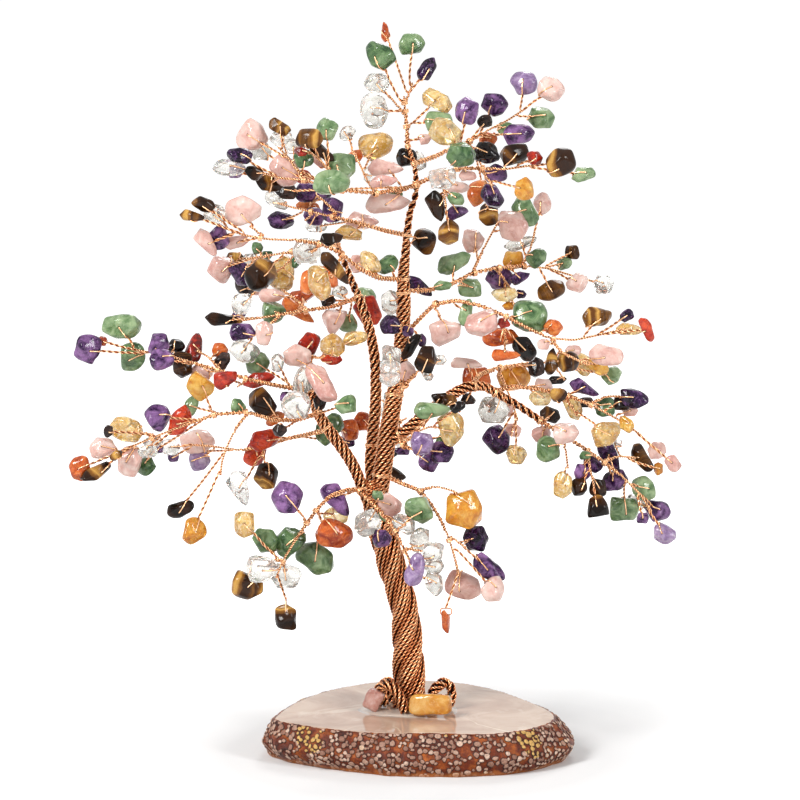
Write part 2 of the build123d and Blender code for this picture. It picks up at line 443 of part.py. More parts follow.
def tapered(route, level_ends=(False, False)):
    """A round bundle along a route of points and radii."""
    rings = []
    for k, (point, radius) in enumerate(route):
        before = route[max(k - 1, 0)][0]
        after = route[min(k + 1, len(route) - 1)][0]
        level = (k == 0 and level_ends[0]) or (k == len(route) - 1 and level_ends[1])
        facing = (0, 0, 1) if level else tuple(unit(after - before))
        rings.append(Wire(Edge.make_circle(radius, Plane(tuple(point), z_dir=facing))))
    return Solid.make_loft(rings, ruled=True)


def rod(start, end, radius):
    plane = Plane(tuple(start), z_dir=tuple(end - start))
    return Solid.make_cylinder(radius, float(np.linalg.norm(end - start)), plane)


def bent_tube(points, radius):
    """A round wire along straight runs joined by arcs."""
    bends = []
    for before, here, after in zip(points, points[1:], points[2:]):
        run = min(np.linalg.norm(here - before), np.linalg.norm(after - here))
        turn = math.acos(float(np.clip(np.dot(unit(here - before), unit(after - here)), -1, 1)))
        bends.append(LEVEL_SHARE * run / math.tan(turn / 2))
    path = FilletPolyline(*[tuple(p) for p in points], radius=bends)
    return sweep(Plane(path @ 0, z_dir=path % 0) * Circle(radius), path=path)


def wood_route(table, full_radius):
    return [(seen(x, y, near), share * full_radius) for x, y, near, share in table]


def branch_route(table, carriers, first_radius, last_radius):
    """A branch's route in space, which starts clear of the nearest carrier."""
    points = [seen(x, y, near * CANOPY_DEPTH_SHARE) for x, y, near in table]
    found = min((nearest_on(route, points[0]) + (route,) for route in carriers), key=lambda f: f[0])
    foot, route = found[1], found[-1]
    start = fork(route, foot, points[1], first_radius, FORK_GAP)
    clear = np.linalg.norm(start - foot) + first_radius
    points = [start] + [p for p in points[1:-1] if np.linalg.norm(p - foot) > clear] + points[-1:]
    last = len(points) - 1
    return [(p, first_radius + (last_radius - first_radius) * k / last) for k, p in enumerate(points)]


GOLDEN_SHARE = (1 + math.sqrt(5)) / 2
TWENTY_FACED_SHARES = [
    corner
    for a in (-1, 1)
    for b in (-GOLDEN_SHARE, GOLDEN_SHARE)
    for corner in ((0, a, b), (a, b, 0), (b, 0, a))
]
# The tumbled forms, and how square and how tapered each is
NUGGET, BLOCK, WEDGE, SHARD, DROP = range(5)
FORM_SHARES = ((0.95, 0.10), (0.72, 0.0), (0.80, 0.30), (1.05, 0.60), (0.90, 0.45))
SLIM_FORMS = (SHARD, DROP, WEDGE)
FULL_FORMS = (NUGGET, BLOCK, WEDGE, NUGGET, BLOCK)
TRIPLES = np.array(list(itertools.combinations(range(len(TWENTY_FACED_SHARES)), 3)))


def faces_round(corners):
    """The outward triangles of the convex body round twelve corners, and their directions."""
    a, b, c = (corners[TRIPLES[:, k]] for k in range(3))
    normals = np.cross(b - a, c - a)
    normals /= np.linalg.norm(normals, axis=1)[:, None]
    beyond = normals @ corners.T - np.einsum("ij,ij->i", normals, a)[:, None]
    tight = WIRE_DIAMETER * ROUNDING_SHARE
    outward = (beyond < tight).all(axis=1)
    inward = (beyond > -tight).all(axis=1)
    triangles = [tuple(t) for t in TRIPLES[outward]] + [tuple(t[::-1]) for t in TRIPLES[inward]]
    return triangles, np.vstack((normals[outward], -normals[inward]))


def unit_chip(form, rng):
    """The corners of one tumbled chip, as shares of its half widths."""
    power, taper = FORM_SHARES[form]
    corners = np.array(TWENTY_FACED_SHARES)
    corners /= np.abs(corners).max()
    corners = np.sign(corners) * np.abs(corners) ** power
    corners += np.array([rng.uniform(-1, 1) for _ in corners.flat]).reshape(corners.shape) * CORNER_JITTER_SHARE
    narrowing = 1 - taper * (corners[:, :1] + 1) / 2
    corners[:, 1:] *= narrowing
    middle = (corners.max(axis=0) + corners.min(axis=0)) / 2
    half = (corners.max(axis=0) - corners.min(axis=0)) / 2
    return (corners - middle) / half


def turned_frame(turn, rng):
    """A chip's long, short and thick directions, turned in the picture plane and tilted a little."""
    spin = math.radians(turn)
    long_way = math.cos(spin) * RIGHTWARD + math.sin(spin) * UPWARD
    short_way = math.cos(spin) * UPWARD - math.sin(spin) * RIGHTWARD
    for _ in range(2):
        tilt = math.radians(rng.uniform(-CHIP_TILT, CHIP_TILT))
        thick_way = np.cross(long_way, short_way)
        long_way = unit(math.cos(tilt) * long_way + math.sin(tilt) * thick_way)
        long_way, short_way = short_way, -long_way
    return np.array((-long_way, -short_way, np.cross(long_way, short_way)))


def stone_form(long_px, short_px, rng):
    return rng.choice(SLIM_FORMS if long_px > SLIM_SHARE * short_px else FULL_FORMS)


def chip_body(centre, long_px, short_px, turn, seed, form=None, upright=False):
    """A chip's corners in space, its triangles and their directions."""
    rng = random.Random(seed)
    form = stone_form(long_px, short_px, rng) if form is None else form
    shape = unit_chip(form, rng)
    frame = turned_frame(turn, rng)
    if upright:
        frame = np.array(((0, 0, -1), (1, 0, 0), (0, -1, 0)))
    thick = max(THICKNESS_SHARE * short_px * MM_PER_PX, CHIP_MIN_THICKNESS)
    halves = np.array((long_px * MM_PER_PX, max(short_px * MM_PER_PX, CHIP_MIN_THICKNESS), thick)) / 2
    corners = centre + (shape * halves) @ frame
    triangles, normals = faces_round(corners)
    return {"centre": centre, "corners": corners, "triangles": triangles, "normals": normals,
            "reach": float(np.linalg.norm(corners - centre, axis=1).max())}


def chip_solid(chip):
    faces = [Face(Wire.make_polygon([tuple(chip["corners"][k]) for k in t])) for t in chip["triangles"]]
    return Solid(Shell(faces))


def apart(corners_a, corners_b, ways):
    """The widest gap between two convex bodies along the given directions."""
    a, b = corners_a @ ways.T, corners_b @ ways.T
    return float(np.maximum(b.min(axis=0) - a.max(axis=0), a.min(axis=0) - b.max(axis=0)).max())


def chips_clear(one, other):
    between = other["centre"] - one["centre"]
    gap = float(np.linalg.norm(between))
    if gap > one["reach"] + other["reach"] + CHIP_GAP:
        return True
    ways = np.vstack((one["normals"], other["normals"], unit(between)))
    return apart(one["corners"], other["corners"], ways) > CHIP_GAP


def near_segment(p, q, point):
    share = np.clip(np.dot(point - p, q - p) / np.dot(q - p, q - p), 0, 1)
    return p + share * (q - p)


def rod_clears_chip(start, end, radius, chip):
    close = near_segment(start, end, chip["centre"])
    offset = chip["centre"] - close
    gap = float(np.linalg.norm(offset))
    if gap > chip["reach"] + radius + CHIP_GAP:
        return True
    if gap < radius:
        return False
    ways = np.vstack((chip["normals"], unit(offset)))
    return apart(chip["corners"], np.array((start, end)), ways) > radius + CHIP_GAP


def rods_apart(start, span, starts, spans):
    """The distances between the middle line of one straight rod and those of many others."""
    between = start - starts
    a, b, c = span @ span, spans @ span, np.einsum("ij,ij->i", spans, spans)
    d, e = between @ span, np.einsum("ij,ij->i", spans, between)
    along = np.clip((b * e - c * d) / np.maximum(a * c - b * b, TOUCH_GAP), 0, 1)
    other = np.clip((b * along + e) / c, 0, 1)
    along = np.clip((b * other - d) / a, 0, 1)
    return np.linalg.norm(between + np.outer(along, span) - spans * other[:, None], axis=1)


def make_main_wood():
    """The trunk and the four thick boughs, as routes of points and radii."""
    trunk = wood_route(TRUNK, TRUNK_RADIUS)
    aside = on_level(*TRUNK[0][:2], GLUE_TOP)[0]
    trunk[0] = (np.array((aside, trunk[0][0][1], GLUE_TOP + TOUCH_GAP)), trunk[0][1])
    wood = {
        "trunk": trunk,
        "leader": wood_route(LEADER, LEADER_RADIUS),
        "left_bough": wood_route(LEFT_BOUGH, BOUGH_RADIUS),
        "middle_bough": wood_route(MIDDLE_BOUGH, BOUGH_RADIUS),
    }
    for name in ("leader", "left_bough", "middle_bough"):
        start, radius = wood[name][0]
        wood[name][0] = (np.array((start[0], start[1], trunk[-1][0][2] + TOUCH_GAP)), radius)
    right = wood_route(RIGHT_BOUGH, BOUGH_RADIUS)
    foot = nearest_on(wood["leader"], right[0][0])[1]
    start = fork(wood["leader"], foot, right[1][0], BOUGH_RADIUS, FORK_GAP)
    right[0] = (start, BOUGH_RADIUS)
    wood["right_bough"] = right
    return wood


def make_branches(wood):
    """Each branch's routes: the branch and its twigs."""
    carriers = [route for name, route in wood.items() if name != "trunk"]
    branches = {}
    for name, tables in BRANCHES.items():
        main = branch_route(tables[0], carriers + [wood["trunk"]], BRANCH_RADIUS, TWIG_RADIUS)
        twigs = [branch_route(table, [main], TWIG_RADIUS, STEM_RADIUS) for table in tables[1:]]
        branches[name] = [main] + twigs
        carriers.append(main)
    return branches


def segments(route):
    return [(p[0], q[0], max(p[1], q[1])) for p, q in zip(route, route[1:])]


def make_slab():
    levels = ((TOP_OUTLINE_PX, SLAB_HEIGHT_PX * MM_PER_PX, SLAB_THICKNESS),
              (MIDDLE_OUTLINE_PX, RIND_WIDEST_HEIGHT, RIND_WIDEST_HEIGHT), (UNDER_OUTLINE_PX, 0, 0))
    rims = []
    for outline, read_height, height in levels:
        points = [on_level(x, y, read_height) for x, y in outline]
        rims.append(Wire(Edge.make_spline([Vector(p[0], p[1], height) for p in points], periodic=True)))
    return Solid.make_loft(rims, ruled=True)


def make_glue(trunk_foot):
    middle = trunk_foot + np.array(GLUE_CENTRE_SHARES + (0,)) * (GLUE_LENGTH, GLUE_WIDTH, 0)
    puddle = Plane((middle[0], middle[1], SLAB_THICKNESS)) * Ellipse(GLUE_LENGTH / 2, GLUE_WIDTH / 2)
    return extrude(puddle, amount=GLUE_THICKNESS)


def make_root(table):
    points = [seen(*place) for place in table]
    for end, inner in ((0, 1), (-1, -2)):
        lean = points[inner] - points[end]
        tip = ROOT_RADIUS * math.hypot(lean[0], lean[1]) / np.linalg.norm(lean)
        points[end] = points[end] * (1, 1, 0) + np.array((0, 0, GLUE_TOP + TOUCH_GAP + tip))
    return bent_tube(points, ROOT_RADIUS)


def make_foot_chip(seed, place):
    """A stone glued at the foot, which rests on the glue with its lowest corner."""
    x, y, long_px, short_px, turn = place
    level = GLUE_TOP + short_px * MM_PER_PX / 2
    chip = chip_body(on_level(x, y, level), long_px, short_px, turn, seed, form=NUGGET)
    sink = GLUE_TOP + TOUCH_GAP - chip["corners"][:, 2].min()
    chip["corners"] = chip["corners"] + (0, 0, sink)
    chip["centre"] = chip["centre"] + (0, 0, sink)
    return chip


def swung(chip, pivot, way, angle):
    """The chip turned about its hinge."""
    c, s = math.cos(angle), math.sin(angle)

    def turned(arms):
        return arms * c + np.cross(way, arms) * s + np.outer(arms @ way, way) * (1 - c)

    corners = pivot + turned(chip["corners"] - pivot)
    return dict(chip, corners=corners, normals=turned(chip["normals"]), centre=corners.mean(axis=0))


def make_drop(seed, place):
    """A drilled stone hanging in an eye of wire: the stone, the eye, the stem and the hinge."""
    x, y, near, long_px, short_px, way, fork_px = place
    way = np.array(way, float)
    chip = chip_body(seen(x, y, near), long_px, short_px, 0, seed, form=BLOCK, upright=True)
    reach_up = long_px * MM_PER_PX / 2 * DROP_HOLE_SHARE
    pivot = chip["centre"] + np.array((0, 0, reach_up))
    arms = chip["corners"] - pivot
    across = np.abs(arms @ way).max()
    above = np.sqrt((arms**2).sum(axis=1) - (arms @ way) ** 2)[arms[:, 2] > 0].max()
    half_width = across + LOOP_CLEARANCE + WIRE_RADIUS
    height = above + LOOP_CLEARANCE + WIRE_RADIUS
    top = pivot + np.array((0, 0, height))
    eye_points = [top + WIRE_RADIUS * way, top + half_width * way, pivot + half_width * way,
                  pivot - half_width * way, top - half_width * way, top - WIRE_RADIUS * way]
    path = FilletPolyline(*[tuple(p) for p in eye_points], radius=LOOP_BEND)
    eye = sweep(Plane(path @ 0, z_dir=path % 0) * Circle(WIRE_RADIUS), path=path)
    bore = WIRE_RADIUS + PIVOT_CLEARANCE
    stone = chip_solid(chip) - rod(pivot - 2 * half_width * way, pivot + 2 * half_width * way, bore)
    fork_point = seen(*fork_px)
    stem_end = top + unit(fork_point - top) * (WIRE_RADIUS + STEM_RADIUS)
    stem = (fork_point, stem_end)
    return {"chip": chip, "stone": stone, "eye": eye, "stem": stem, "pivot": pivot, "way": way}


def flat_distance(one, other):
    return math.hypot(one[1] - other[1], one[2] - other[2])


class Room:
    """What stands in the tree so far: stones, and straight rods with the branch that owns each."""

    def __init__(self, chips, rods):
        self.chips = list(chips)
        self.rods = list(rods)
        self.measure()

    def measure(self):
        self.centres = np.array([c["centre"] for c in self.chips])
        self.reaches = np.array([c["reach"] for c in self.chips])
        self.starts = np.array([r[0] for r in self.rods])
        self.spans = np.array([r[1] - r[0] for r in self.rods])
        self.radii = np.array([r[2] for r in self.rods])

    def add(self, chip, stem):
        self.chips.append(chip)
        self.rods.append(stem)
        self.measure()

    def takes_chip(self, chip):
        gaps = np.linalg.norm(self.centres - chip["centre"], axis=1)
        for k in np.flatnonzero(gaps < self.reaches + chip["reach"] + CHIP_GAP):
            if not chips_clear(chip, self.chips[k]):
                return False
        arms = chip["centre"] - self.starts
        shares = np.einsum("ij,ij->i", arms, self.spans) / np.einsum("ij,ij->i", self.spans, self.spans)
        close = arms - self.spans * np.clip(shares, 0, 1)[:, None]
        for k in np.flatnonzero(np.linalg.norm(close, axis=1) < chip["reach"] + self.radii + CHIP_GAP):
            start, end, radius, _ = self.rods[k]
            if not rod_clears_chip(start, end, radius, chip):
                return False
        return True

    def takes_stem(self, start, end, owner):
        span = end - start
        shares = (self.centres - start) @ span / (span @ span)
        close = self.centres - start - np.outer(np.clip(shares, 0, 1), span)
        for k in np.flatnonzero(np.linalg.norm(close, axis=1) < self.reaches + STEM_RADIUS + CHIP_GAP):
            if not rod_clears_chip(start, end, STEM_RADIUS, self.chips[k]):
                return False
        gaps = rods_apart(start, span, self.starts, self.spans) - self.radii - STEM_RADIUS
        return all(self.rods[k][3] == owner for k in np.flatnonzero(gaps < SEAT_GAP))


def place_stones(wood, branches, fixed_chips, fixed_rods):
    """Puts each stone where the picture shows it, where nothing touches, on a stem from its branch."""
    owned = list(wood.items()) + [(name, route) for name, routes in branches.items() for route in routes]
    rods = [(p, q, r, name) for name, route in owned for p, q, r in segments(route)]
    room = Room(fixed_chips, rods + fixed_rods)
    stones = [(stone, region, seed) for region, table in STONES for seed, stone in enumerate(table)]
    stones.sort(key=lambda s: -s[0][3] * s[0][4])
    placed, left_out = [], []
    for count, (stone, region, seed) in enumerate(stones):
        for dx, dy in SIDE_STEPS_PX:
            item = settle_stone(stone, seed, count, dx, dy, branches, room, placed)
            if item:
                break
        if item is None:
            left_out.append(stone)
            continue
        item["region"] = region
        room.add(item["chip"], (item["start"], item["end"], STEM_RADIUS, item["branch"]))
        placed.append(item)
    print("stones on stems:", len(placed), "without a free place:", left_out)
    return placed


def seen_from_front(route):
    return [(p * (1, 0, 1), r) for p, r in route]


def settle_stone(stone, seed, count, dx, dy, branches, room, placed):
    """The first depth, from the branch's own outwards, at which the stone and a stem for it have room."""
    kind, x, y, long_px, short_px, turn = stone
    x, y = x + dx, y + dy
    spot = seen(x, y, 0) * (1, 0, 1)
    name, route = min(
        ((name, route) for name, routes in branches.items() for route in routes),
        key=lambda option: nearest_on(seen_from_front(option[1]), spot)[0],
    )
    run, share = nearest_on(seen_from_front(route), spot)[4:]
    depth = route[run][0][1] + share * (route[run + 1][0][1] - route[run][0][1])
    near = -depth / MM_PER_PX + DEPTHS_PX[count % len(DEPTHS_PX)]
    for other in placed:
        if flat_distance(stone, other["stone"]) < (short_px + other["stone"][4]) * LEVEL_SHARE:
            near = min(near, other["near"] - DEPTH_STEP_PX)
    pattern = chip_body(np.zeros(3), long_px, short_px, turn, seed)
    steps = range(int(DEPTH_REACH_PX / DEPTH_STEP_PX))
    for depth_px in [near - k * DEPTH_STEP_PX for k in steps] + [near + k * DEPTH_STEP_PX for k in steps[1:]]:
        centre = seen(x, y, depth_px)
        chip = dict(pattern, centre=centre, corners=pattern["corners"] + centre)
        if not room.takes_chip(chip):
            continue
        for angle in STEM_ANGLES:
            stem = make_stem(chip, route, angle)
            if stem and room.takes_stem(*stem, name):
                return {"chip": chip, "start": stem[0], "end": stem[1], "branch": name, "stone": stone,
                        "near": depth_px}
    return None


def make_stem(chip, route, angle):
    """A straight stem from the branch into the chip that leaves the branch at about this angle."""
    gap, spot, _, _, run, _ = nearest_on(route, chip["centre"])
    back = gap / math.tan(math.radians(angle))
    while back > 0:
        piece = float(np.linalg.norm(spot - route[run][0]))
        if back <= piece:
            spot = spot - unit(route[run + 1][0] - route[run][0]) * back
            break
        if run == 0:
            return None
        back -= piece
        spot = route[run][0]
        run -= 1
    along = unit(route[run + 1][0] - route[run][0])
    turn = math.acos(float(np.clip(np.dot(unit(chip["centre"] - spot), along), -1, 1)))
    if turn < math.radians(min(STEM_ANGLES)) / 2 and not end_of(route, spot):
        return None
    start = fork(route, spot, chip["centre"], STEM_RADIUS)
    way = unit(chip["centre"] - start)
    end = chip["centre"] + way * STEM_SEAT_SHARE * CHIP_MIN_THICKNESS
    if np.dot(end - start, way) < chip["reach"]:
        return None
    return start, end


def drilled(item):
    """A stone with its hole bored along its stem."""
    chip = item["chip"]
    way = unit(item["end"] - item["start"])
    far = way * 2 * chip["reach"]
    bore = rod(chip["centre"] - far, chip["centre"] + far, STEM_RADIUS + HOLE_CLEARANCE)
    return chip_solid(chip) - bore


def main():
    os.makedirs("parts", exist_ok=True)
    wood = make_main_wood()
    branches = make_branches(wood)
    nodes = {"agate_base": [make_slab()], "glue_pad": [make_glue(wood["trunk"][0][0])]}
    for name, route in wood.items():
        nodes[name] = [tapered(route, (name != "right_bough", name == "trunk"))]
    nodes.update({name: [tapered(route) for route in routes] for name, routes in branches.items()})
    nodes.update({name: [make_root(table)] for name, table in ROOTS.items()})
    foot_chips = {name: make_foot_chip(k, place) for k, (name, place) in enumerate(FOOT_STONES.items())}
    nodes.update({name: [chip_solid(chip)] for name, chip in foot_chips.items()})
    swing = math.radians(SWING)
    fixed_chips = list(foot_chips.values())
    fixed_rods = []
    for seed, (name, place) in enumerate(DROPS.items()):
        drop = make_drop(seed, place)
        nodes[name] = [drop["stone"]]
        carrier, route = min(
            ((key, k) for key, routes in branches.items() for k in range(len(routes))),
            key=lambda place: nearest_on(branches[place[0]][place[1]], drop["stem"][0])[0],
        )
        spot = nearest_on(branches[carrier][route], drop["stem"][0])[1]
        start = fork(branches[carrier][route], spot, drop["stem"][1], STEM_RADIUS)
        nodes[carrier] += [rod(start, drop["stem"][1], STEM_RADIUS), drop["eye"]]
        fixed_rods.append((start, drop["stem"][1], STEM_RADIUS, carrier))
        for share in SWING_SHARES:
            fixed_chips.append(swung(drop["chip"], drop["pivot"], drop["way"], swing * share))
        print("hinge of", name, "at", np.round(drop["pivot"], 3).tolist(), "along", drop["way"].tolist())
    for item in place_stones(wood, branches, fixed_chips, fixed_rods):
        kind = item["stone"][0]
        name = f"{kind}_chips" if kind in FEW else f"{kind}_chips_{item['region']}"
        nodes.setdefault(name, []).append(drilled(item))
        nodes[item["branch"]].append(rod(item["start"], item["end"], STEM_RADIUS))
    for name, solids in nodes.items():
        export_step(solids[0] if len(solids) == 1 else Compound(children=solids), f"parts/{name}.step")
    print("nodes:", len(nodes), "solids:", sum(len(s) for s in nodes.values()))


main()
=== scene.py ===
import json
import math
import re

import bmesh
import bpy
import numpy as np
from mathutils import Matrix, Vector, kdtree


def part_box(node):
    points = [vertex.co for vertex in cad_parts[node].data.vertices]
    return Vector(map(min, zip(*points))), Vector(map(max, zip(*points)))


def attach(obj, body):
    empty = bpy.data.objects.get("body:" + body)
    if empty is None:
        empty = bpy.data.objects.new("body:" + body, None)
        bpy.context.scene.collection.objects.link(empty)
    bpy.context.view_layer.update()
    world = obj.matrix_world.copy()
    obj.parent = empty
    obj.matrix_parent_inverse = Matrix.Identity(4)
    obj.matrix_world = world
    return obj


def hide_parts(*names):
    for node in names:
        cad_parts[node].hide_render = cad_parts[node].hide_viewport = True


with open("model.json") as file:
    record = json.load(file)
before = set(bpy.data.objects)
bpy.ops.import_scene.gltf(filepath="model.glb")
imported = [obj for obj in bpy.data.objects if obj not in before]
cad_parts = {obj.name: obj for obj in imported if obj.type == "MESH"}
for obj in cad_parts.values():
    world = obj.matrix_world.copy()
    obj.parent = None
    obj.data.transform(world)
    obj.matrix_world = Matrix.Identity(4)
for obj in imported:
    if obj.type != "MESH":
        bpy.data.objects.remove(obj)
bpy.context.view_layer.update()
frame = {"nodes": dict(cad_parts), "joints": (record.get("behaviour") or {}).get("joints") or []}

# Gemstone tree ornament: every piece's looks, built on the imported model's own places and sizes.
# Metres, +Z up, +X right and -Y towards the viewer. The origin is the centre of the agate's underside.

MM = 0.001
SEED = 41
RANDOM_TURN = 6.28
TREE_BODY = "tree"
scene = bpy.context.scene
chance = np.random.default_rng(SEED)

# Millimetres that each thick bundle's wires run on before its solid and beyond it
RUN_ON = {
    "trunk": (0, 3.5), "leader": (9, 2),
    "left_bough": (8, 1.5), "middle_bough": (8, 1.5), "right_bough": (3, 1.5),
}
ROOTS = ("root_front_left", "root_right", "root_back_left")
# A branch whose CAD solid starts beyond the tip that carries it, and that tip's bundle
TIP_BRANCHES = {"left_back_branch": "middle_bough"}
# Each chip at the foot, and the material that its stone has there
FOOT_CHIPS = {"rose_quartz_foot_chip": "dusky_rose", "citrine_foot_chip": "golden_citrine"}
DROPS = ("carnelian_drop", "tigers_eye_drop")
BASE_NODES = ("agate_base", "glue_pad")


# Directions, lengths and middles
def unit(v):
    return v / np.linalg.norm(v, axis=-1, keepdims=True)


def middle_of(points):
    return (points.max(axis=0) + points.min(axis=0)) / 2


def dots(a, b):
    return (a * b).sum(axis=-1)


def lengths(v):
    return np.linalg.norm(v, axis=-1)


def around(angle, one, other):
    """The direction at an angle from one towards another, which is square to it."""
    return np.cos(angle) * one + np.sin(angle) * other


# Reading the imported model
SAME_LEVEL = 0.01 * MM
DISC_SHARE = 0.8
DISC_FLATNESS = 0.005 * MM
DISC_ROUNDNESS = 0.05
MOST_SLICES = 400
FEWEST_SLICES = 5
FEWEST_CUTS = 6
# In steps from the end
LAST_SLICE_WITHIN = 1.3
SHORTEST_SLICE = 0.2 * MM
# These are in radii of the bundle
SLICE_STEP = 0.7
SLICE_REACH = 1.9
MOST_WIDENING = 1.08


def joined(count, faces):
    """A number for each corner, shared by the corners that faces join."""
    label = np.arange(count)
    while True:
        before = label.copy()
        lowest = label[faces].min(axis=1)
        for k in range(faces.shape[1]):
            np.minimum.at(label, faces[:, k], lowest)
        label = label[label]
        if (label == before).all():
            return label


def solids_of(node):
    """Each solid of a node: its corners, its triangles, and each triangle's smooth patch."""
    mesh = frame["nodes"][node].data
    mesh.calc_loop_triangles()
    split = np.empty(len(mesh.vertices) * 3, np.float32)
    mesh.vertices.foreach_get("co", split)
    triangles = np.empty(len(mesh.loop_triangles) * 3, np.int32)
    mesh.loop_triangles.foreach_get("vertices", triangles)
    triangles = triangles.reshape(-1, 3)
    places = split.reshape(-1, 3).astype(float).round(7)
    places, place_of = np.unique(places, axis=0, return_inverse=True)
    patch = joined(len(split) // 3, triangles)[triangles[:, 0]]
    triangles = place_of.ravel()[triangles]
    solid = joined(len(places), triangles)[triangles[:, 0]]
    found = []
    for key in np.unique(solid):
        used, inner = np.unique(triangles[solid == key], return_inverse=True)
        found.append((places[used], inner.reshape(-1, 3), patch[solid == key]))
    return found


def crossed(corners, triangles):
    a, b, c = (corners[triangles[:, k]] for k in range(3))
    return np.cross(b - a, c - a)


def flat_ends(corners, triangles, patch):
    """A bundle's round ends, widest first: middle, radius, way in and count of corners."""
    ends = []
    for key in np.unique(patch):
        mine = triangles[patch == key]
        points = corners[np.unique(mine)]
        middle = middle_of(points)
        spokes = lengths(points - middle)
        radius = spokes.mean()
        flatness = np.linalg.svd(points - points.mean(axis=0), compute_uv=False)[2]
        outward = crossed(corners, mine).sum(axis=0)
        full = np.linalg.norm(outward) / 2 > DISC_SHARE * math.pi * radius ** 2
        if full and flatness < DISC_FLATNESS and spokes.std() < DISC_ROUNDNESS * radius:
            ends.append((middle, radius, -unit(outward), len(points)))
    return sorted(ends, key=lambda end: -end[1])


def middle_line(corners, triangles, patch):
    """A round solid's middle line and its radius along it, from slices between its ends."""
    wide_end, far_end = flat_ends(corners, triangles, patch)[:2]
    start, radius, heading, count = wide_end
    finish, last_radius, _, last_count = far_end
    if count + last_count == len(corners):
        return np.array((start, finish)), np.array((radius, last_radius))
    pairs = np.vstack((triangles[:, :2], triangles[:, 1:], triangles[:, ::2]))
    links = np.unique(np.sort(pairs, axis=1), axis=0)
    line, radii = [start], [radius]
    for _ in range(MOST_SLICES):
        step = max(SLICE_STEP * radii[-1], SHORTEST_SLICE)
        probe = line[-1] + heading * step
        height = (corners - probe) @ heading
        low, high = height[links[:, 0]], height[links[:, 1]]
        cut = (low < 0) != (high < 0)
        share = (low[cut] / (low[cut] - high[cut]))[:, None]
        points = corners[links[cut, 0]] * (1 - share) + corners[links[cut, 1]] * share
        points = points[lengths(points - probe) < SLICE_REACH * radii[-1]]
        if len(points) < FEWEST_CUTS:
            break
        middle = middle_of(points)
        heading = unit(middle - line[-1])
        line.append(middle)
        radii.append(min(lengths(points - middle).mean(), MOST_WIDENING * radius))
        gap = np.linalg.norm(middle - finish)
        if len(line) > FEWEST_SLICES and gap < LAST_SLICE_WITHIN * step:
            break
    line.append(finish)
    radii.append(last_radius)
    return np.array(line), np.array(radii)


def bundle_line(node):
    return middle_line(*solids_of(node)[0])


def search_tree(points):
    """A tree that finds the nearest of the points."""
    tree = kdtree.KDTree(len(points))
    for k, point in enumerate(points):
        tree.insert(point, k)
    tree.balance()
    return tree


# Meshes
def add_object(name, data):
    made = bpy.data.objects.new(name, data)
    scene.collection.objects.link(made)
    return made


def make_piece(name, corners, faces, body, material, marks=None):
    """A smooth mesh from arrays, with its marks as attributes of its corners."""
    mesh = bpy.data.meshes.new(name)
    faces = np.ascontiguousarray(faces, np.int32)
    mesh.vertices.add(len(corners))
    mesh.vertices.foreach_set("co", np.asarray(corners, np.float32).ravel())
    mesh.loops.add(faces.size)
    mesh.loops.foreach_set("vertex_index", faces.ravel())
    mesh.polygons.add(len(faces))
    mesh.polygons.foreach_set("loop_start", np.arange(0, faces.size, faces.shape[1], dtype=np.int32))
    mesh.update(calc_edges=True)
    mesh.polygons.foreach_set("use_smooth", np.full(len(faces), True))
    for key, values in (marks or {}).items():
        values = np.asarray(values, np.float32)
        kind, field = ("FLOAT", "value") if values.ndim == 1 else ("FLOAT_VECTOR", "vector")
        mesh.attributes.new(key, kind, "POINT").data.foreach_set(field, values.ravel())
    mesh.validate()
    piece = add_object(name, mesh)
    mesh.materials.append(material)
    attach(piece, body)
    return piece


def ball(divisions):
    """The corners and triangles of an evenly divided ball."""
    mesh = bmesh.new()
    bmesh.ops.create_icosphere(mesh, subdivisions=divisions, radius=1)
    corners = np.array([tuple(v.co) for v in mesh.verts])
    triangles = np.array([[v.index for v in f.verts] for f in mesh.faces])
    mesh.free()
    return unit(corners), triangles


def ring_sheet(count, steps):
    """The corners' numbers in rows of rings, and the faces between the rows."""
    here = np.arange(count * steps).reshape(-1, steps)
    aft = np.roll(here, -1, axis=1)
    return here, np.stack((here[:-1], here[1:], aft[1:], aft[:-1]), axis=-1).reshape(-1, 4)


def close_ring(piece, rings):
    """Fills the rings with one face each."""
    mesh = bmesh.new()
    mesh.from_mesh(piece.data)
    mesh.verts.ensure_lookup_table()
    for ring in rings:
        face = mesh.faces.new([mesh.verts[int(k)] for k in ring])
        face.smooth = True
    mesh.to_mesh(piece.data)
    mesh.free()


# Materials. Each stone has a dark, middle and pale colour, its clouds' scale, clearness and roughness
STONE_LOOKS = {
    "amethyst": ((10, 2, 16), (46, 14, 62), (154, 110, 166), 0.2, 0.2, 0.05),
    "pale_amethyst": ((112, 80, 132), (166, 136, 180), (212, 194, 218), 0.28, 0.35, 0.12),
    "rose_quartz": ((206, 152, 142), (230, 188, 176), (246, 220, 210), 0.2, 0.2, 0.1),
    "dusky_rose": ((164, 104, 92), (202, 148, 134), (228, 194, 184), 0.16, 0.25, 0.05),
    "clear_quartz": ((196, 192, 184), (236, 234, 228), (254, 253, 250), 0.34, 0.8, 0.06),
    "citrine": ((206, 154, 60), (232, 198, 124), (250, 236, 190), 0.24, 0.62, 0.07),
    "amber_citrine": ((186, 104, 18), (226, 156, 46), (244, 200, 98), 0.26, 0.42, 0.09),
    "golden_citrine": ((190, 112, 26), (228, 164, 64), (250, 216, 140), 0.14, 0.35, 0.04),
    "aventurine": ((46, 80, 42), (104, 134, 88), (158, 180, 136), 0.26, 0.12, 0.06),
    "red_jasper": ((92, 14, 6), (172, 36, 14), (206, 76, 40), 0.26, 0, 0.12),
    "carnelian": ((146, 46, 12), (214, 98, 30), (240, 152, 84), 0.22, 0.25, 0.09),
    "smoky_quartz": ((4, 2, 2), (14, 7, 7), (72, 52, 46), 0.22, 0.15, 0.04),
}
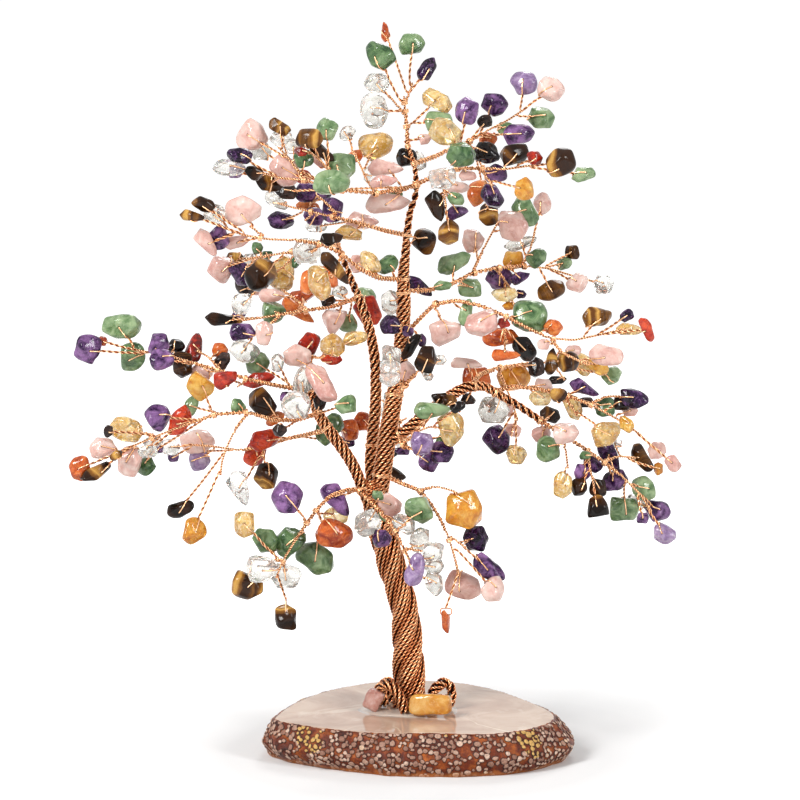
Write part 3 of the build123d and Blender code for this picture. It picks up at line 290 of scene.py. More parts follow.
DARK = ("amethyst", "smoky_quartz")
CRACKED = ("clear_quartz", "citrine")
MILKY = CRACKED + ("rose_quartz", "dusky_rose", "golden_citrine", "aventurine", "pale_amethyst")
STONE_IOR = 1.54
# How far red, green and blue light spreads inside a stone
SCATTER = (1, 0.8, 0.7)
# A drilled hole's mouths, painted dark as the shade inside it; sizes in millimetres
HOLE_RADIUS = 0.42
HOLE_BLUR = 0.1
HOLE_SHADE_COLOUR = (30, 14, 8)


def colour(r, g, b):
    """A colour as the photograph shows it, from 0 to 255, in linear light."""
    shares = [c / 255 for c in (r, g, b)]
    return tuple(s / 12.92 if s <= 0.04045 else ((s + 0.055) / 1.055) ** 2.4 for s in shares) + (1,)


class Graph:
    """The nodes of a material or of the world."""

    def __init__(self, owner):
        self.owner = owner
        owner.use_nodes = True
        self.tree = owner.node_tree
        self.tree.nodes.clear()

    def add(self, kind, inputs=None, **settings):
        node = self.tree.nodes.new(kind)
        for key, value in settings.items():
            setattr(node, key, value)
        for key, value in (inputs or {}).items():
            if isinstance(value, bpy.types.NodeSocket):
                self.tree.links.new(value, node.inputs[key])
            else:
                node.inputs[key].default_value = value
        return node

    def mark(self, name, output="Fac"):
        return self.add("ShaderNodeAttribute", attribute_name=name).outputs[output]

    def place(self):
        return self.add("ShaderNodeTexCoord").outputs["Object"]

    def part(self, value, number):
        return self.add("ShaderNodeSeparateXYZ", {0: value}).outputs[number]

    def maths(self, operation, one, other):
        return self.add("ShaderNodeMath", {0: one, 1: other}, operation=operation).outputs[0]

    def plus(self, one, other):
        return self.maths("ADD", one, other)

    def times(self, one, other):
        return self.maths("MULTIPLY", one, other)

    def vector(self, operation, one, other):
        return self.add("ShaderNodeVectorMath", {0: one, 1: other}, operation=operation).outputs[0]

    def length(self, value):
        return self.add("ShaderNodeVectorMath", {0: value}, operation="LENGTH").outputs["Value"]

    def span(self, value, low, high, to_low=0, to_high=1):
        inputs = {"Value": value, "From Min": low, "From Max": high, "To Min": to_low, "To Max": to_high}
        return self.add("ShaderNodeMapRange", inputs).outputs["Result"]

    def noise(self, place, scale, detail, distortion=0):
        inputs = {"Vector": place, "Scale": scale, "Detail": detail, "Distortion": distortion}
        return self.add("ShaderNodeTexNoise", {**inputs, "Roughness": 0.55}).outputs[0]

    def wander(self, place, scale, detail, low, high):
        return self.span(self.noise(place, scale, detail), 0.3, 0.7, low, high)

    def cells(self, place, scale, width, share=1, feature="DISTANCE_TO_EDGE"):
        """A share on the lines between random cells, or at their middles with F1."""
        node = self.add("ShaderNodeTexVoronoi", {"Vector": place, "Scale": scale}, feature=feature)
        return self.span(node.outputs["Distance"], 0, width, share, 0)

    def ramp(self, factor, *stops):
        node = self.add("ShaderNodeValToRGB", {"Fac": factor})
        elements = node.color_ramp.elements
        while len(elements) < len(stops):
            elements.new(0.5)
        for element, (place, value) in zip(elements, stops):
            element.position = place
            element.color = colour(*value)
        return node.outputs["Color"]

    def mix(self, factor, one, other, blend="MIX"):
        inputs = {0: factor, 6: one, 7: other}
        return self.add("ShaderNodeMix", inputs, data_type="RGBA", blend_type=blend).outputs[2]

    def bump(self, height, strength, distance):
        inputs = {"Height": height, "Strength": strength, "Distance": distance}
        return self.add("ShaderNodeBump", inputs).outputs["Normal"]

    def seen(self):
        """1 where the camera, a reflection or clear stone shows this, and 0 for its light."""
        rays = self.add("ShaderNodeLightPath").outputs
        most = rays["Is Camera Ray"]
        for key in ("Is Glossy Ray", "Is Transmission Ray"):
            most = self.maths("MAXIMUM", most, rays[key])
        return most

    def finish(self, shader):
        self.add("ShaderNodeOutputMaterial", {"Surface": shader})
        return self.owner

    def principled(self, **inputs):
        named = {key.replace("_", " "): value for key, value in inputs.items()}
        return self.finish(self.add("ShaderNodeBsdfPrincipled", named).outputs[0])


def material_graph(name):
    return Graph(bpy.data.materials.new(name))


def copper_material():
    g = material_graph("copper_wire")
    place = g.place()
    # Painted light: the wire's mark runs from a painted highlight at 0 to dark painted shade between the
    # wires at 1; the noise tint is wear
    shade = g.ramp(
        g.mark("painted_shade"), (0, (255, 216, 172)), (0.28, (246, 184, 132)), (0.5, (226, 142, 92)),
        (0.7, (160, 86, 48)), (0.9, (60, 27, 15)),
    )
    tint = g.ramp(g.noise(place, 260, 5), (0.3, (206, 168, 150)), (0.62, (255, 250, 245)))
    return g.principled(
        Base_Color=g.mix(0.3, shade, tint, "MULTIPLY"), Roughness=g.wander(place, 900, 3, 0.2, 0.36),
        Metallic=1, Normal=g.bump(g.noise(place, 5200, 2), 0.08, 0.05 * MM),
    )


def hole_shaded(g, skin):
    """The skin with painted shade in the dark mouths of a drilled hole, which runs along the mark's z."""
    away = g.length(g.vector("MULTIPLY", g.mark("local", "Vector"), (1, 1, 0)))
    mouth = g.span(away, HOLE_RADIUS - HOLE_BLUR, HOLE_RADIUS + HOLE_BLUR, 0.9, 0)
    return g.mix(mouth, skin, colour(*HOLE_SHADE_COLOUR))


def stone_skin(g, name, place):
    """A stone's colour: its clouds, then its cracks, veins, flecks or veils; aventurine's flecks carry a
    painted sparkle.
    """
    dark, middle, pale, cloud, _, _ = STONE_LOOKS[name]
    clouds = g.span(g.noise(place, cloud, 5, 0.8), 0.3, 0.7)
    factor = g.plus(g.times(clouds, 0.62), g.times(g.mark("tone"), 0.38))
    skin = g.ramp(factor, (0.2, dark), (0.5, middle), (0.82, pale))
    if name == "red_jasper":
        return g.mix(g.times(g.cells(place, 0.42, 0.06), 0.55), skin, colour(70, 12, 8))
    # Aventurine's pale flecks: its inclusions, painted lighter as their sparkle
    if name == "aventurine":
        return g.mix(g.times(g.cells(place, 2.6, 0.22, feature="F1"), 0.5), skin, colour(200, 222, 186))
    veil = g.span(g.noise(place, 0.5, 6, 2), 0.52, 0.62, 0, 0.55)
    if name in CRACKED:
        skin = g.mix(veil, skin, colour(255, 252, 246))
        return g.mix(g.cells(place, 0.4, 0.03, 0.4), skin, colour(*(0.72 * c for c in dark)))
    skin = g.mix(g.times(veil, 0.6), skin, colour(*pale))
    return g.mix(g.times(g.cells(place, 0.42, 0.06), 0.12 if name in MILKY else 0.3), skin, colour(*dark))


def stone_material(name):
    _, _, _, _, clear, rough = STONE_LOOKS[name]
    glassy = clear > 0.5
    g = material_graph(name)
    place = g.mark("grain", "Vector")
    ripple = g.plus(g.noise(place, 0.4, 2), g.times(g.noise(place, 1.6, 3), 0.08))
    return g.principled(
        Base_Color=hole_shaded(g, stone_skin(g, name, place)), IOR=STONE_IOR, Transmission_Weight=clear,
        Roughness=g.wander(place, 1.4, 3, rough * 0.6, rough * 1.7),
        Specular_IOR_Level=0.5 if glassy else 0.15 if name in DARK else 0.3,
        Subsurface_Weight=0.25 if name in MILKY else 0, Subsurface_Radius=SCATTER,
        Subsurface_Scale=1.5 * MM, Normal=g.bump(ripple, 0.15 if glassy else 0.5, 0.4 * MM),
    )


def tigers_eye_material():
    """Broad silky zones of gold across a brown stone, with a painted sheen streaked along its fibres."""
    g = material_graph("tigers_eye")
    place = g.mark("grain", "Vector")
    bend = g.times(g.noise(place, 0.12, 2), 5)
    run = g.add("ShaderNodeCombineXYZ", {0: g.plus(g.part(place, 0), bend)}).outputs[0]
    zones = g.plus(g.noise(run, 0.12, 1), g.times(g.noise(run, 0.9, 3), 0.14))
    skin = g.ramp(
        g.plus(zones, g.times(g.maths("SUBTRACT", g.mark("tone"), 0.5), 0.12)),
        (0.44, (18, 9, 4)), (0.58, (56, 30, 12)), (0.65, (140, 92, 36)),
        (0.7, (212, 164, 84)), (0.76, (104, 62, 24)), (0.84, (30, 15, 6)),
    )
    silk = g.noise(g.vector("MULTIPLY", place, (0.5, 7, 7)), 1, 2)
    # Painted sheen: the fibres' streaks, lighter and darker, multiplied into the colour
    painted_sheen = g.ramp(silk, (0.35, (170, 150, 130)), (0.65, (255, 255, 250)))
    return g.principled(
        Base_Color=hole_shaded(g, g.mix(0.35, skin, painted_sheen, "MULTIPLY")), Roughness=0.1, IOR=STONE_IOR,
        Anisotropic=0.6, Specular_IOR_Level=0.17, Normal=g.bump(silk, 0.1, 0.1 * MM),
    )


def agate_face(g, place):
    """Cream stone with paler veils, and fine cracks in places."""
    clouds = g.noise(place, 38, 6, 1.2)
    face = g.ramp(clouds, (0.32, (174, 144, 124)), (0.5, (192, 164, 144)), (0.68, (208, 184, 164)))
    veils = g.span(g.noise(place, 22, 8, 2.5), 0.56, 0.64, 0, 0.4)
    face = g.mix(veils, face, colour(230, 216, 198))
    shift = g.add("ShaderNodeTexNoise", {"Vector": place, "Scale": 30, "Detail": 3}).outputs["Color"]
    shift = g.vector("MULTIPLY", g.vector("SUBTRACT", shift, (0.5,) * 3), (0.02,) * 3)
    bent = g.vector("ADD", place, shift)
    patchy = g.span(g.noise(place, 12, 2), 0.5, 0.62)
    return g.mix(g.times(g.cells(bent, 24, 0.012, 0.75), patchy), face, colour(246, 232, 206))


def agate_rind(g, place):
    """Brown matrix with pale granules in dark rims, and an orange low edge."""
    granule = g.mark("granule")
    clouds = g.noise(place, 240, 6)
    matrix = g.ramp(clouds, (0.3, (50, 13, 3)), (0.5, (112, 42, 10)), (0.7, (176, 92, 30)))
    grains = g.ramp(
        g.mark("hue"), (0, (148, 106, 88)), (0.45, (188, 150, 130)),
        (0.75, (222, 192, 172)), (0.92, (212, 170, 100)),
    )
    rimmed = g.mix(g.span(granule, 0, 0.12, 0, 0.9), matrix, colour(30, 8, 3))
    coat = g.mix(g.span(granule, 0.34, 0.66), rimmed, grains)
    speckle = g.ramp(g.noise(place, 1900, 3), (0.35, (140, 126, 116)), (0.6, (255, 255, 255)))
    coat = g.mix(0.5, coat, speckle, "MULTIPLY")
    height = g.plus(g.part(place, 2), g.wander(place, 260, 2, -0.8 * MM, 0.8 * MM))
    return g.mix(g.span(height, 0.6 * MM, 2 * MM, 0.7, 0), coat, colour(176, 104, 48))


def agate_material():
    g = material_graph("agate")
    place = g.place()
    rind = g.mark("rind")
    bites = g.plus(rind, g.wander(place, 420, 3, -0.22, 0.22))
    return g.principled(
        Base_Color=g.mix(g.span(bites, 0.42, 0.5), agate_face(g, place), agate_rind(g, place)),
        Roughness=g.span(rind, 0.3, 0.9, 0.05, 0.42), IOR=1.45, Specular_IOR_Level=0.3,
        Subsurface_Weight=0.12, Subsurface_Scale=2 * MM, Subsurface_Radius=SCATTER,
        Normal=g.bump(g.times(g.noise(place, 1100, 5), rind), 0.9, 0.5 * MM),
    )


def glue_material():
    g = material_graph("clear_glue")
    place = g.place()
    tint = g.ramp(g.noise(place, 120, 3), (0.35, (236, 220, 206)), (0.65, (248, 238, 226)))
    return g.principled(
        Base_Color=tint, Roughness=0.04, IOR=1.4, Transmission_Weight=0.4,
        Normal=g.bump(g.noise(place, 260, 3), 0.1, 0.3 * MM),
    )


MATERIALS = {name: stone_material(name) for name in STONE_LOOKS}
MATERIALS["tigers_eye"] = tigers_eye_material()
COPPER = copper_material()
BALL_WAYS, BALL_FACES = ball(divisions=4)

# Stones
ROUNDNESS_POWERS = (12, 32)
FOOT_CHIP_POWER = 5
FACET_COUNT = 5
FACET_DEPTHS = (0.62, 0.92)
SMALLEST_CROSS = 0.06 * MM * MM
OUTER_WITHIN = 0.004 * MM
NEAREST_FACE = 0.3 * MM
FEWEST_TIPS = 6
DENT_SHARE = 0.02
DENT_WAVES = 5
DENT_FINENESS = 2.6
FULLNESS = 1.05
GRAIN_SHIFT = 90


def flat_faces(corners, triangles):
    """The directions of a convex body's faces, and how far each is from the origin."""
    crosses = crossed(corners, triangles)
    large = lengths(crosses) > SMALLEST_CROSS
    ways = unit(crosses[large])
    reach = dots(ways, corners[triangles[large, 0]])
    outermost = (corners @ ways.T - reach).max(axis=0) < OUTER_WITHIN
    ways, reach = ways[outermost], reach[outermost]
    _, kept = np.unique(ways.round(2), axis=0, return_index=True)
    return ways[kept], reach[kept]


def face_tips(corners, ways, reach):
    """The corners where three faces meet, which leaves out the mouths of the hole."""
    meeting = (np.abs(corners @ ways.T - reach) < SAME_LEVEL).sum(axis=1) > 2
    return corners[meeting] if meeting.sum() >= FEWEST_TIPS else corners


def long_to_thin_axes(points):
    """Three directions, from the points' longest way to their thinnest, which faces the viewer."""
    axes = np.linalg.svd(points - points.mean(axis=0), full_matrices=False)[2]
    if axes[2][1] > 0:
        axes[2] = -axes[2]
    axes[1] = np.cross(axes[2], axes[0])
    return axes


class Stone:
    """One tumbled chip: the CAD body's flat faces, with every edge worn round."""

    def __init__(self, corners, triangles, cut_count):
        ways, reach = flat_faces(corners, triangles)
        tips = face_tips(corners, ways, reach)
        self.axes = axes = long_to_thin_axes(tips)
        spans = tips @ axes.T
        low, high = spans.min(axis=0), spans.max(axis=0)
        self.centre = ((high + low) / 2) @ axes
        self.halves = (high - low) / 2
        if not cut_count:
            ways = np.vstack((axes, -axes))
            reach = np.tile(self.halves, 2) + ways @ self.centre
        cuts = unit(chance.normal(size=(cut_count, 3)))
        shares = chance.uniform(*FACET_DEPTHS, cut_count)
        depths = ((tips - self.centre) @ cuts.T).max(axis=0) * shares
        self.ways = np.vstack((ways, cuts))
        self.reach = np.maximum(np.concatenate((reach - ways @ self.centre, depths)), NEAREST_FACE)
        self.power = chance.uniform(*ROUNDNESS_POWERS) if cut_count else FOOT_CHIP_POWER
        self.waves = chance.normal(size=(DENT_WAVES, 3)) * DENT_FINENESS
        self.phases = chance.uniform(0, math.tau, DENT_WAVES)
        self.tone = chance.uniform()
        self.shift = chance.uniform(-GRAIN_SHIFT, GRAIN_SHIFT, 3)
        self.hole = self.centre
        self.hole_way = axes[2]
        self.size = 1.0
        self.rays = unit((BALL_WAYS * self.halves) @ axes)
        spans = (self.rays * self.surface(self.rays)[:, None]) @ axes.T
        fullness = FULLNESS if cut_count else 1
        self.size = float(np.mean(2 * self.halves / np.ptp(spans, axis=0))) * fullness

    def surface(self, ways):
        """How far the stone reaches from its centre in each direction."""
        pressed = np.maximum(ways @ self.ways.T / self.reach, 0) ** self.power
        dents = np.sin(ways @ self.waves.T + self.phases).sum(axis=1) * DENT_SHARE
        return self.size * pressed.sum(axis=1) ** (-1 / self.power) * (1 + dents)

    def mesh(self):
        """The corners and their marks: places round the hole and in the grain, and the tone."""
        corners = self.centre + self.rays * self.surface(self.rays)[:, None]
        turned = np.array((self.axes[0], np.cross(self.hole_way, self.axes[0]), self.hole_way))
        local = (corners - self.hole) @ turned.T / MM
        grain = (corners - self.centre) @ self.axes.T / MM + self.shift
        return corners, {"local": local, "grain": grain, "tone": np.full(len(corners), self.tone)}


def make_stones(node, body):
    """All the stones of a node, whose name starts with their kind, as one piece."""
    kind = re.split("_chips|_foot_chip|_drop", node)[0]
    cuts = 0 if node in FOOT_CHIPS else FACET_COUNT
    stones = [Stone(corners, triangles, cuts) for corners, triangles, _ in solids_of(node)]
    if node in DROPS:
        joint = next(j for j in frame["joints"] if j["child"] == node)
        stones[0].hole = np.array(joint["pos_m"])
        stones[0].hole_way = np.array(joint["axis"], float)
    elif node in FOOT_CHIPS:
        stones[0].tone = 0.5
        # A foot chip has no hole, so its painted hole shade is put far off the stone
        stones[0].hole = stones[0].centre + stones[0].axes[0]
    parts = [stone.mesh() for stone in stones]
    corners = np.vstack([part[0] for part in parts])
    faces = np.vstack([BALL_FACES + k * len(BALL_WAYS) for k in range(len(stones))])
    marks = {key: np.concatenate([part[1][key] for part in parts]) for key in parts[0][1]}
    material = MATERIALS[FOOT_CHIPS.get(node, kind)]
    piece = make_piece(node + "_tumbled", corners, faces, body, material, marks)
    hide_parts(node)
    return stones


# Wire. A strand has THICK_WIRES in the trunk, boughs and roots, and THIN_WIRES in the rest
WIRE_RADIUS = 0.25 * MM
PAIR_RADIUS = 2 * WIRE_RADIUS
PAIR_PITCH = 4.8 * MM
THICK_RADIUS = 0.3 * MM
THICK_PITCH = 5.4 * MM
THICK_WIRES, THIN_WIRES = 3, 2
WIRE_STEP = 0.36 * MM
FEWEST_STEPS = 4
WIRE_SIDES = 6
# Painted shade on a bundle's wires: full below LIT_FROM of their height towards the outside, gone
# LIT_SPAN above it
LIT_FROM, LIT_SPAN = 0.08, 0.8

# How strands lie in a bundle
LAY_ANGLE = math.radians(31)
STRAND_SPACING = 1.6 * MM
LEAST_SEAT = 0.62 * PAIR_RADIUS
SPREAD_LENGTH = 7 * MM
LONE_EASING = 3 * MM
END_SINKING = 2.5 * MM
END_SEAT_SHARE = 0.45
BRANCH_STRANDS = (3, 2, 1)
TWIG_STRANDS = (2, 1, 1)
LOBE_COUNT = 4
LOBE_DEPTH = 0.2
# The share of painted shade in the grooves between the trunk's lobes, on top of their real depth
LOBE_SHADE = 0.42
CORE_INSET = 0.75 * MM
CORE_LEAST = 0.3 * MM
CORE_SIDES = 12
CORE_STEP = 4
SHORTEST_STRAND = 6

# What a solid is, by its greatest radius
THICK_OVER = 1.3 * MM
TWIG_WIDEST = 0.9 * MM
STEM_WIDEST = 0.6 * MM
EYE_WIDEST = 0.4 * MM

# Wraps round a branch. Their pitch and seat are in radii of the wire
WRAP_TURN_STEPS = 14
WRAP_PITCH = 2.15
WRAP_SEAT = 0.8
WRAPS_ON_THICK, WRAPS_ON_THIN = 1.5, 2.5
ASKEW = (0.31, 0.77, 0.55)

# Stems, the wires over a stone, and eyes
STEM_EASING = 0.6 * MM
STEM_BOW = 0.35 * MM
STONE_WITHIN = 2.4 * MM
HUG_SHARES = np.linspace(0.12, 1, 11)[:, None]
HUG_STEP = 0.3 * MM
HUG_EASING = 0.25 * MM
DIVE_DEPTHS = np.array((0.1, 0.9)) * MM
EYE_REACH = 0.8 * MM
EYE_STEP = 0.2 * MM
EYE_EASING = 0.3 * MM

# Bundles and twigs
TRUNK_EASING = 2.5 * MM
TRUNK_TAPER = 6 * MM
ROOT_EASING = 0.8 * MM
ROOT_THINNEST = 0.85
TWIG_EASING = 1.2 * MM
TWIG_RUN_IN = 1.2 * MM
BARE_END = 1.6 * MM
SHORTEST_TWIG = 3.4 * MM
FOOT_WITHIN = 2.5 * MM
OWN_END_WITHIN = 0.1 * MM
CARRIER_STEP = 0.5 * MM
WOOD_LINES = []


def carried_frames(line):
    """Two directions across a line at each point, carried along without twist."""
    ways = unit(np.gradient(line, axis=0))
    across = np.empty_like(ways)
    guess = np.array((0, -1.0, 0) if abs(ways[0][1]) < 0.8 else (1.0, 0, 0))
    for k, way in enumerate(ways):
        guess = guess - way * np.dot(guess, way)
        guess /= np.linalg.norm(guess)
        across[k] = guess
    return across, np.cross(ways, across)


def turned_frames(line, toward):
    """Two directions across a line at each point, the first nearest to toward."""
    ways = unit(np.gradient(line, axis=0))
    up = unit(toward - ways * dots(toward, ways)[:, None])
    return up, np.cross(ways, up)


def travelled(line):
    return np.concatenate(((0,), np.cumsum(lengths(np.diff(line, axis=0)))))


def nearest_point(line, spot):
    return int(lengths(line - spot).argmin())


def even_steps(line, radii, step=WIRE_STEP, easing=0.0):
    """The line in even steps, with its corners eased over about the given length."""
    run = travelled(line)
    count = max(int(run[-1] / step), FEWEST_STEPS)
    at = np.linspace(0, run[-1], count + 1)
    even = np.column_stack([np.interp(at, run, line[:, k]) for k in range(3)])
    for _ in range(int(2 * (easing / step) ** 2)):
        even[1:-1] = (even[:-2] + 2 * even[1:-1] + even[2:]) / 4
    return even, np.interp(at, run, radii)


def longer(line, radii, before, after):
    """The line with its ends carried on straight."""
    if before:
        line = np.vstack((line[0] + unit(line[0] - line[1]) * before, line))
        radii = np.concatenate((radii[:1], radii))
    if after:
        line = np.vstack((line, line[-1] + unit(line[-1] - line[-2]) * after))
        radii = np.concatenate((radii, radii[-1:]))
    return line, radii


class Coil:
    """The wires of one piece, gathered as rings of corners."""

    def __init__(self):
        self.corners, self.faces, self.painted_shades = [], [], []
        self.count = 0

    def tube(self, centres, toward, radius=WIRE_RADIUS, outward=None, sides=WIRE_SIDES, light=1.0):
        """A round wire with painted light: a highlight on its side facing toward, and painted shade on
        its side away from toward and on its side away from outward, deeper where light is below 1.
        """
        up, aside = turned_frames(centres, toward)
        turns = np.arange(sides) * math.tau / sides
        normals = around(turns[:, None], up[:, None], aside[:, None])
        rings = centres[:, None] + normals * np.broadcast_to(radius, len(centres))[:, None, None]
        # Painted light across the wire: 1 for its highlight and 0 for its darkest painted shade
        lit = np.tile(0.5 + 0.5 * np.cos(turns), (len(centres), 1))
        if outward is not None:
            height = (dots(toward, outward)[:, None] + dots(normals, outward[:, None])) / 2
            lit = (0.5 + 0.5 * lit) * np.clip((height - LIT_FROM) / LIT_SPAN, 0, 1) * light
        here, sheet = ring_sheet(len(centres), sides)
        half = sides // 2
        cap = np.array(((0, 1, 2, half), (0, half, half + 1, sides - 1)))
        self.corners.append(rings.reshape(-1, 3))
        faces = np.vstack((sheet[:, (0, 3, 2, 1)], here[0][cap][:, ::-1], here[-1][cap]))
        self.faces.append(self.count + faces)
        self.painted_shades.append(1 - lit.ravel())
        self.count += len(centres) * sides

    def twist(self, centres, toward, phase=0.0, outward=None, wires=THIN_WIRES, light=1.0):
        """Two or three wires twisted together. Returns the wires' last centres."""
        up, aside = turned_frames(centres, toward)
        run = travelled(centres)
        thick = wires == THICK_WIRES
        radius, pitch = (THICK_RADIUS, THICK_PITCH) if thick else (WIRE_RADIUS, PAIR_PITCH)
        ends = []
        for k in range(wires):
            angle = (phase + math.tau * (k / wires + (run - run[-1]) / pitch))[:, None]
            off = around(angle, up, aside)
            wire = centres + off * radius / math.sin(math.pi / wires)
            self.tube(wire, off, radius, outward, light=light)
            ends.append(wire[-1])
        return ends

    def bundle(self, line, radii, strands=None, lobes=False):
        """Strands laid round a middle line, as many as fit or as are given for each third of it."""
        across, aside = carried_frames(line)
        seat = np.maximum(radii - PAIR_RADIUS, LEAST_SEAT)
        run = travelled(line)
        lay = np.concatenate(((0,), np.cumsum(np.diff(run) * math.tan(LAY_ANGLE) / seat[1:])))
        if strands is None:
            room = np.maximum(np.minimum.accumulate(math.tau * seat / STRAND_SPACING), 2)
        else:
            room = np.array(strands)[np.minimum((3 * run / run[-1]).astype(int), 2)]
            lonely = run[-1] if room[-1] > 1 else run[room > 1][-1]
            seat = seat * np.clip(1 - (run - lonely) / LONE_EASING, 0, 1)
        # The others spread out where a strand ends
        wide = int(SPREAD_LENGTH / WIRE_STEP) // 2
        counts = np.pad(np.floor(room), wide, mode="edge")
        spread = np.convolve(counts, np.ones(2 * wide + 1) / (2 * wide + 1), mode="valid")
        for k in range(int(room[0])):
            alive = np.flatnonzero(room >= k + 1)
            if len(alive) < SHORTEST_STRAND:
                continue
            share = math.tau * k / spread[alive]
            out = around((lay[alive] + share)[:, None], across[alive], aside[alive])
            groove = ((1 - np.cos(LOBE_COUNT * share)) / 2) ** 2 if lobes else np.zeros(len(alive))
            here = seat[alive] * (1 - LOBE_DEPTH * groove)
            if 0 < k and len(alive) < len(line):
                left = run[alive[-1]] - run[alive]
                here *= END_SEAT_SHARE + (1 - END_SEAT_SHARE) * np.minimum(left / END_SINKING, 1)
            centres = line[alive] + out * here[:, None]
            phase = chance.uniform(0, RANDOM_TURN)
            # Thick strands get painted shade on their side towards the bundle's inside, and more in the
            # grooves between lobes
            if strands is None:
                light = (1 - LOBE_SHADE * groove)[:, None]
                self.twist(centres, out, phase, out, THICK_WIRES, light)
            else:
                self.twist(centres, out, phase)
        # A core in the darkest painted shade, so that no light comes through a thick bundle; its outward
        # points inward, so all of it is shaded
        if radii.max() > THICK_OVER:
            inner = np.maximum(radii - PAIR_RADIUS - CORE_INSET, CORE_LEAST)[::CORE_STEP]
            up = across[::CORE_STEP]
            self.tube(line[::CORE_STEP], up, inner, outward=-up, sides=CORE_SIDES)

    def wraps(self, spot, way, radius, turns):
        """A few close turns of one wire round a branch."""
        way = unit(way)
        across = unit(np.cross(way, ASKEW))
        angle = np.linspace(0, math.tau * turns, int(WRAP_TURN_STEPS * turns))[:, None]
        out = around(angle, across, np.cross(way, across))
        climb = (angle / math.tau - turns / 2) * WRAP_PITCH * WIRE_RADIUS
        self.tube(spot + way * climb + out * (radius + WIRE_RADIUS * WRAP_SEAT), out, outward=out)

    def piece(self, name, node):
        corners, faces = np.vstack(self.corners), np.vstack(self.faces)
        marks = {"painted_shade": np.concatenate(self.painted_shades)}
        made = make_piece(name, corners, faces, TREE_BODY, COPPER, marks)
        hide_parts(node)


def hug(stone, spot, towards, side):
    """A wire's line over the stone's face, from the end of the pair to the hole and into it."""
    goal = stone.hole_way * side
    angle = math.acos(float(np.clip(np.dot(towards, goal), -1, 1)))
    near, far = np.sin((1 - HUG_SHARES) * angle), np.sin(HUG_SHARES * angle)
    ways = unit((near * towards + far * goal) / math.sin(angle))
    over = stone.centre + ways * (stone.surface(ways)[:, None] + WIRE_RADIUS)
    depths = stone.surface(goal[None])[0] - DIVE_DEPTHS
    dive = stone.centre + goal * depths[:, None]
    return np.vstack((spot, over, dive))


def make_stem(coil, foot, start, end, stone):
    """A twisted pair that parts at its stone's edge and enters the hole, or that carries an eye."""
    way = unit(end - start)
    if stone is None:
        route = np.array((foot, start, end + way * EYE_REACH))
        line = even_steps(route, np.zeros(3), easing=STEM_EASING)[0]
        coil.twist(line, carried_frames(line)[0])
        return
    towards = unit(start - stone.centre)
    edge = stone.centre + towards * (stone.surface(towards[None])[0] + PAIR_RADIUS)
    side = unit(stone.hole_way - way * np.dot(stone.hole_way, way))
    line = even_steps(np.array((foot, start, edge)), np.zeros(3), easing=STEM_EASING)[0]
    shares = np.linspace(0, 1, len(line))
    bow = chance.uniform(-STEM_BOW, STEM_BOW, 2)
    line = line + np.outer(np.sin(math.pi * shares) * bow[0], np.cross(way, side))
    line = line + np.outer(np.sin(math.tau * shares) * bow[1] / 2, side)
    ends = coil.twist(line, np.broadcast_to(side, line.shape))
    for spot, facing in zip(ends, (1, -1)):
        path = hug(stone, spot, towards, facing)
        path = even_steps(path, np.zeros(len(path)), HUG_STEP, easing=HUG_EASING)[0]
        coil.tube(path, unit(path - stone.centre))


def nearest_wood(spot):
    """The nearest bundle so far: a point of its middle line, its way there and its radius."""
    least, found = math.inf, None
    for line, radii in WOOD_LINES:
        gaps = lengths(line - spot) - radii
        k = int(gaps.argmin())
        if gaps[k] < least:
            ahead = line[min(k + 1, len(line) - 1)] - line[max(k - 1, 0)]
            least, found = gaps[k], (line[k], ahead, radii[k])
    return found


def make_trunk_and_boughs():
    """The thick bundles, whose strands run on into each other where they divide."""
    for name, (before, after) in RUN_ON.items():
        line, radii = bundle_line(name)
        WOOD_LINES.append(even_steps(line, radii, CARRIER_STEP))
        line, radii = longer(line, radii, before * MM, after * MM)
        line, radii = even_steps(line, radii, easing=TRUNK_EASING)
        trunk = name == "trunk"
        if trunk:
            run = travelled(line)
            ahead = np.minimum((run[-1] - run) / TRUNK_TAPER, 1)
            radii = radii * (0.5 + 0.5 * np.sin(ahead * math.pi / 2))
        coil = Coil()
        coil.bundle(line, radii, lobes=trunk)
        coil.piece(name + "_strands", name)


def make_roots():
    for name in ROOTS:
        line, radii = bundle_line(name)
        radii = np.maximum(radii, ROOT_THINNEST * radii.max())
        coil = Coil()
        coil.bundle(*even_steps(line, radii, easing=ROOT_EASING))
        coil.piece(name + "_strands", name)


def make_eye(coil, line, radii):
    """The open eye of wire that a hanging stone swings on."""
    path = even_steps(*longer(line, radii, WIRE_RADIUS, WIRE_RADIUS), EYE_STEP, easing=EYE_EASING)[0]
    coil.tube(path, unit(path - line.mean(axis=0)))


def join_stem(coil, line, carrier, stones, tree):
    """A stem from the nearest wire to its stone, or to its eye."""
    gaps = [tree.find(tuple(end)) for end in line]
    far = int(gaps[1][2] < gaps[0][2])
    stone = stones[gaps[far][1]] if gaps[far][2] < STONE_WITHIN else None
    if stone is None:
        free = [lengths(carrier - end).min() for end in line]
        far = int(free[1] > free[0])
    start, end = line[1 - far], line[far]
    make_stem(coil, carrier[nearest_point(carrier, start)], start, end, stone)


def used_part(line, radii, feet):
    """The line up to a little beyond the last thing that it holds."""
    run = travelled(line)
    held = [0]
    for foot in feet:
        k = nearest_point(line, foot)
        if OWN_END_WITHIN < np.linalg.norm(line[k] - foot) < FOOT_WITHIN:
            held.append(run[k])
    kept = run <= max(max(held) + BARE_END, SHORTEST_TWIG)
    return line[kept], radii[kept]


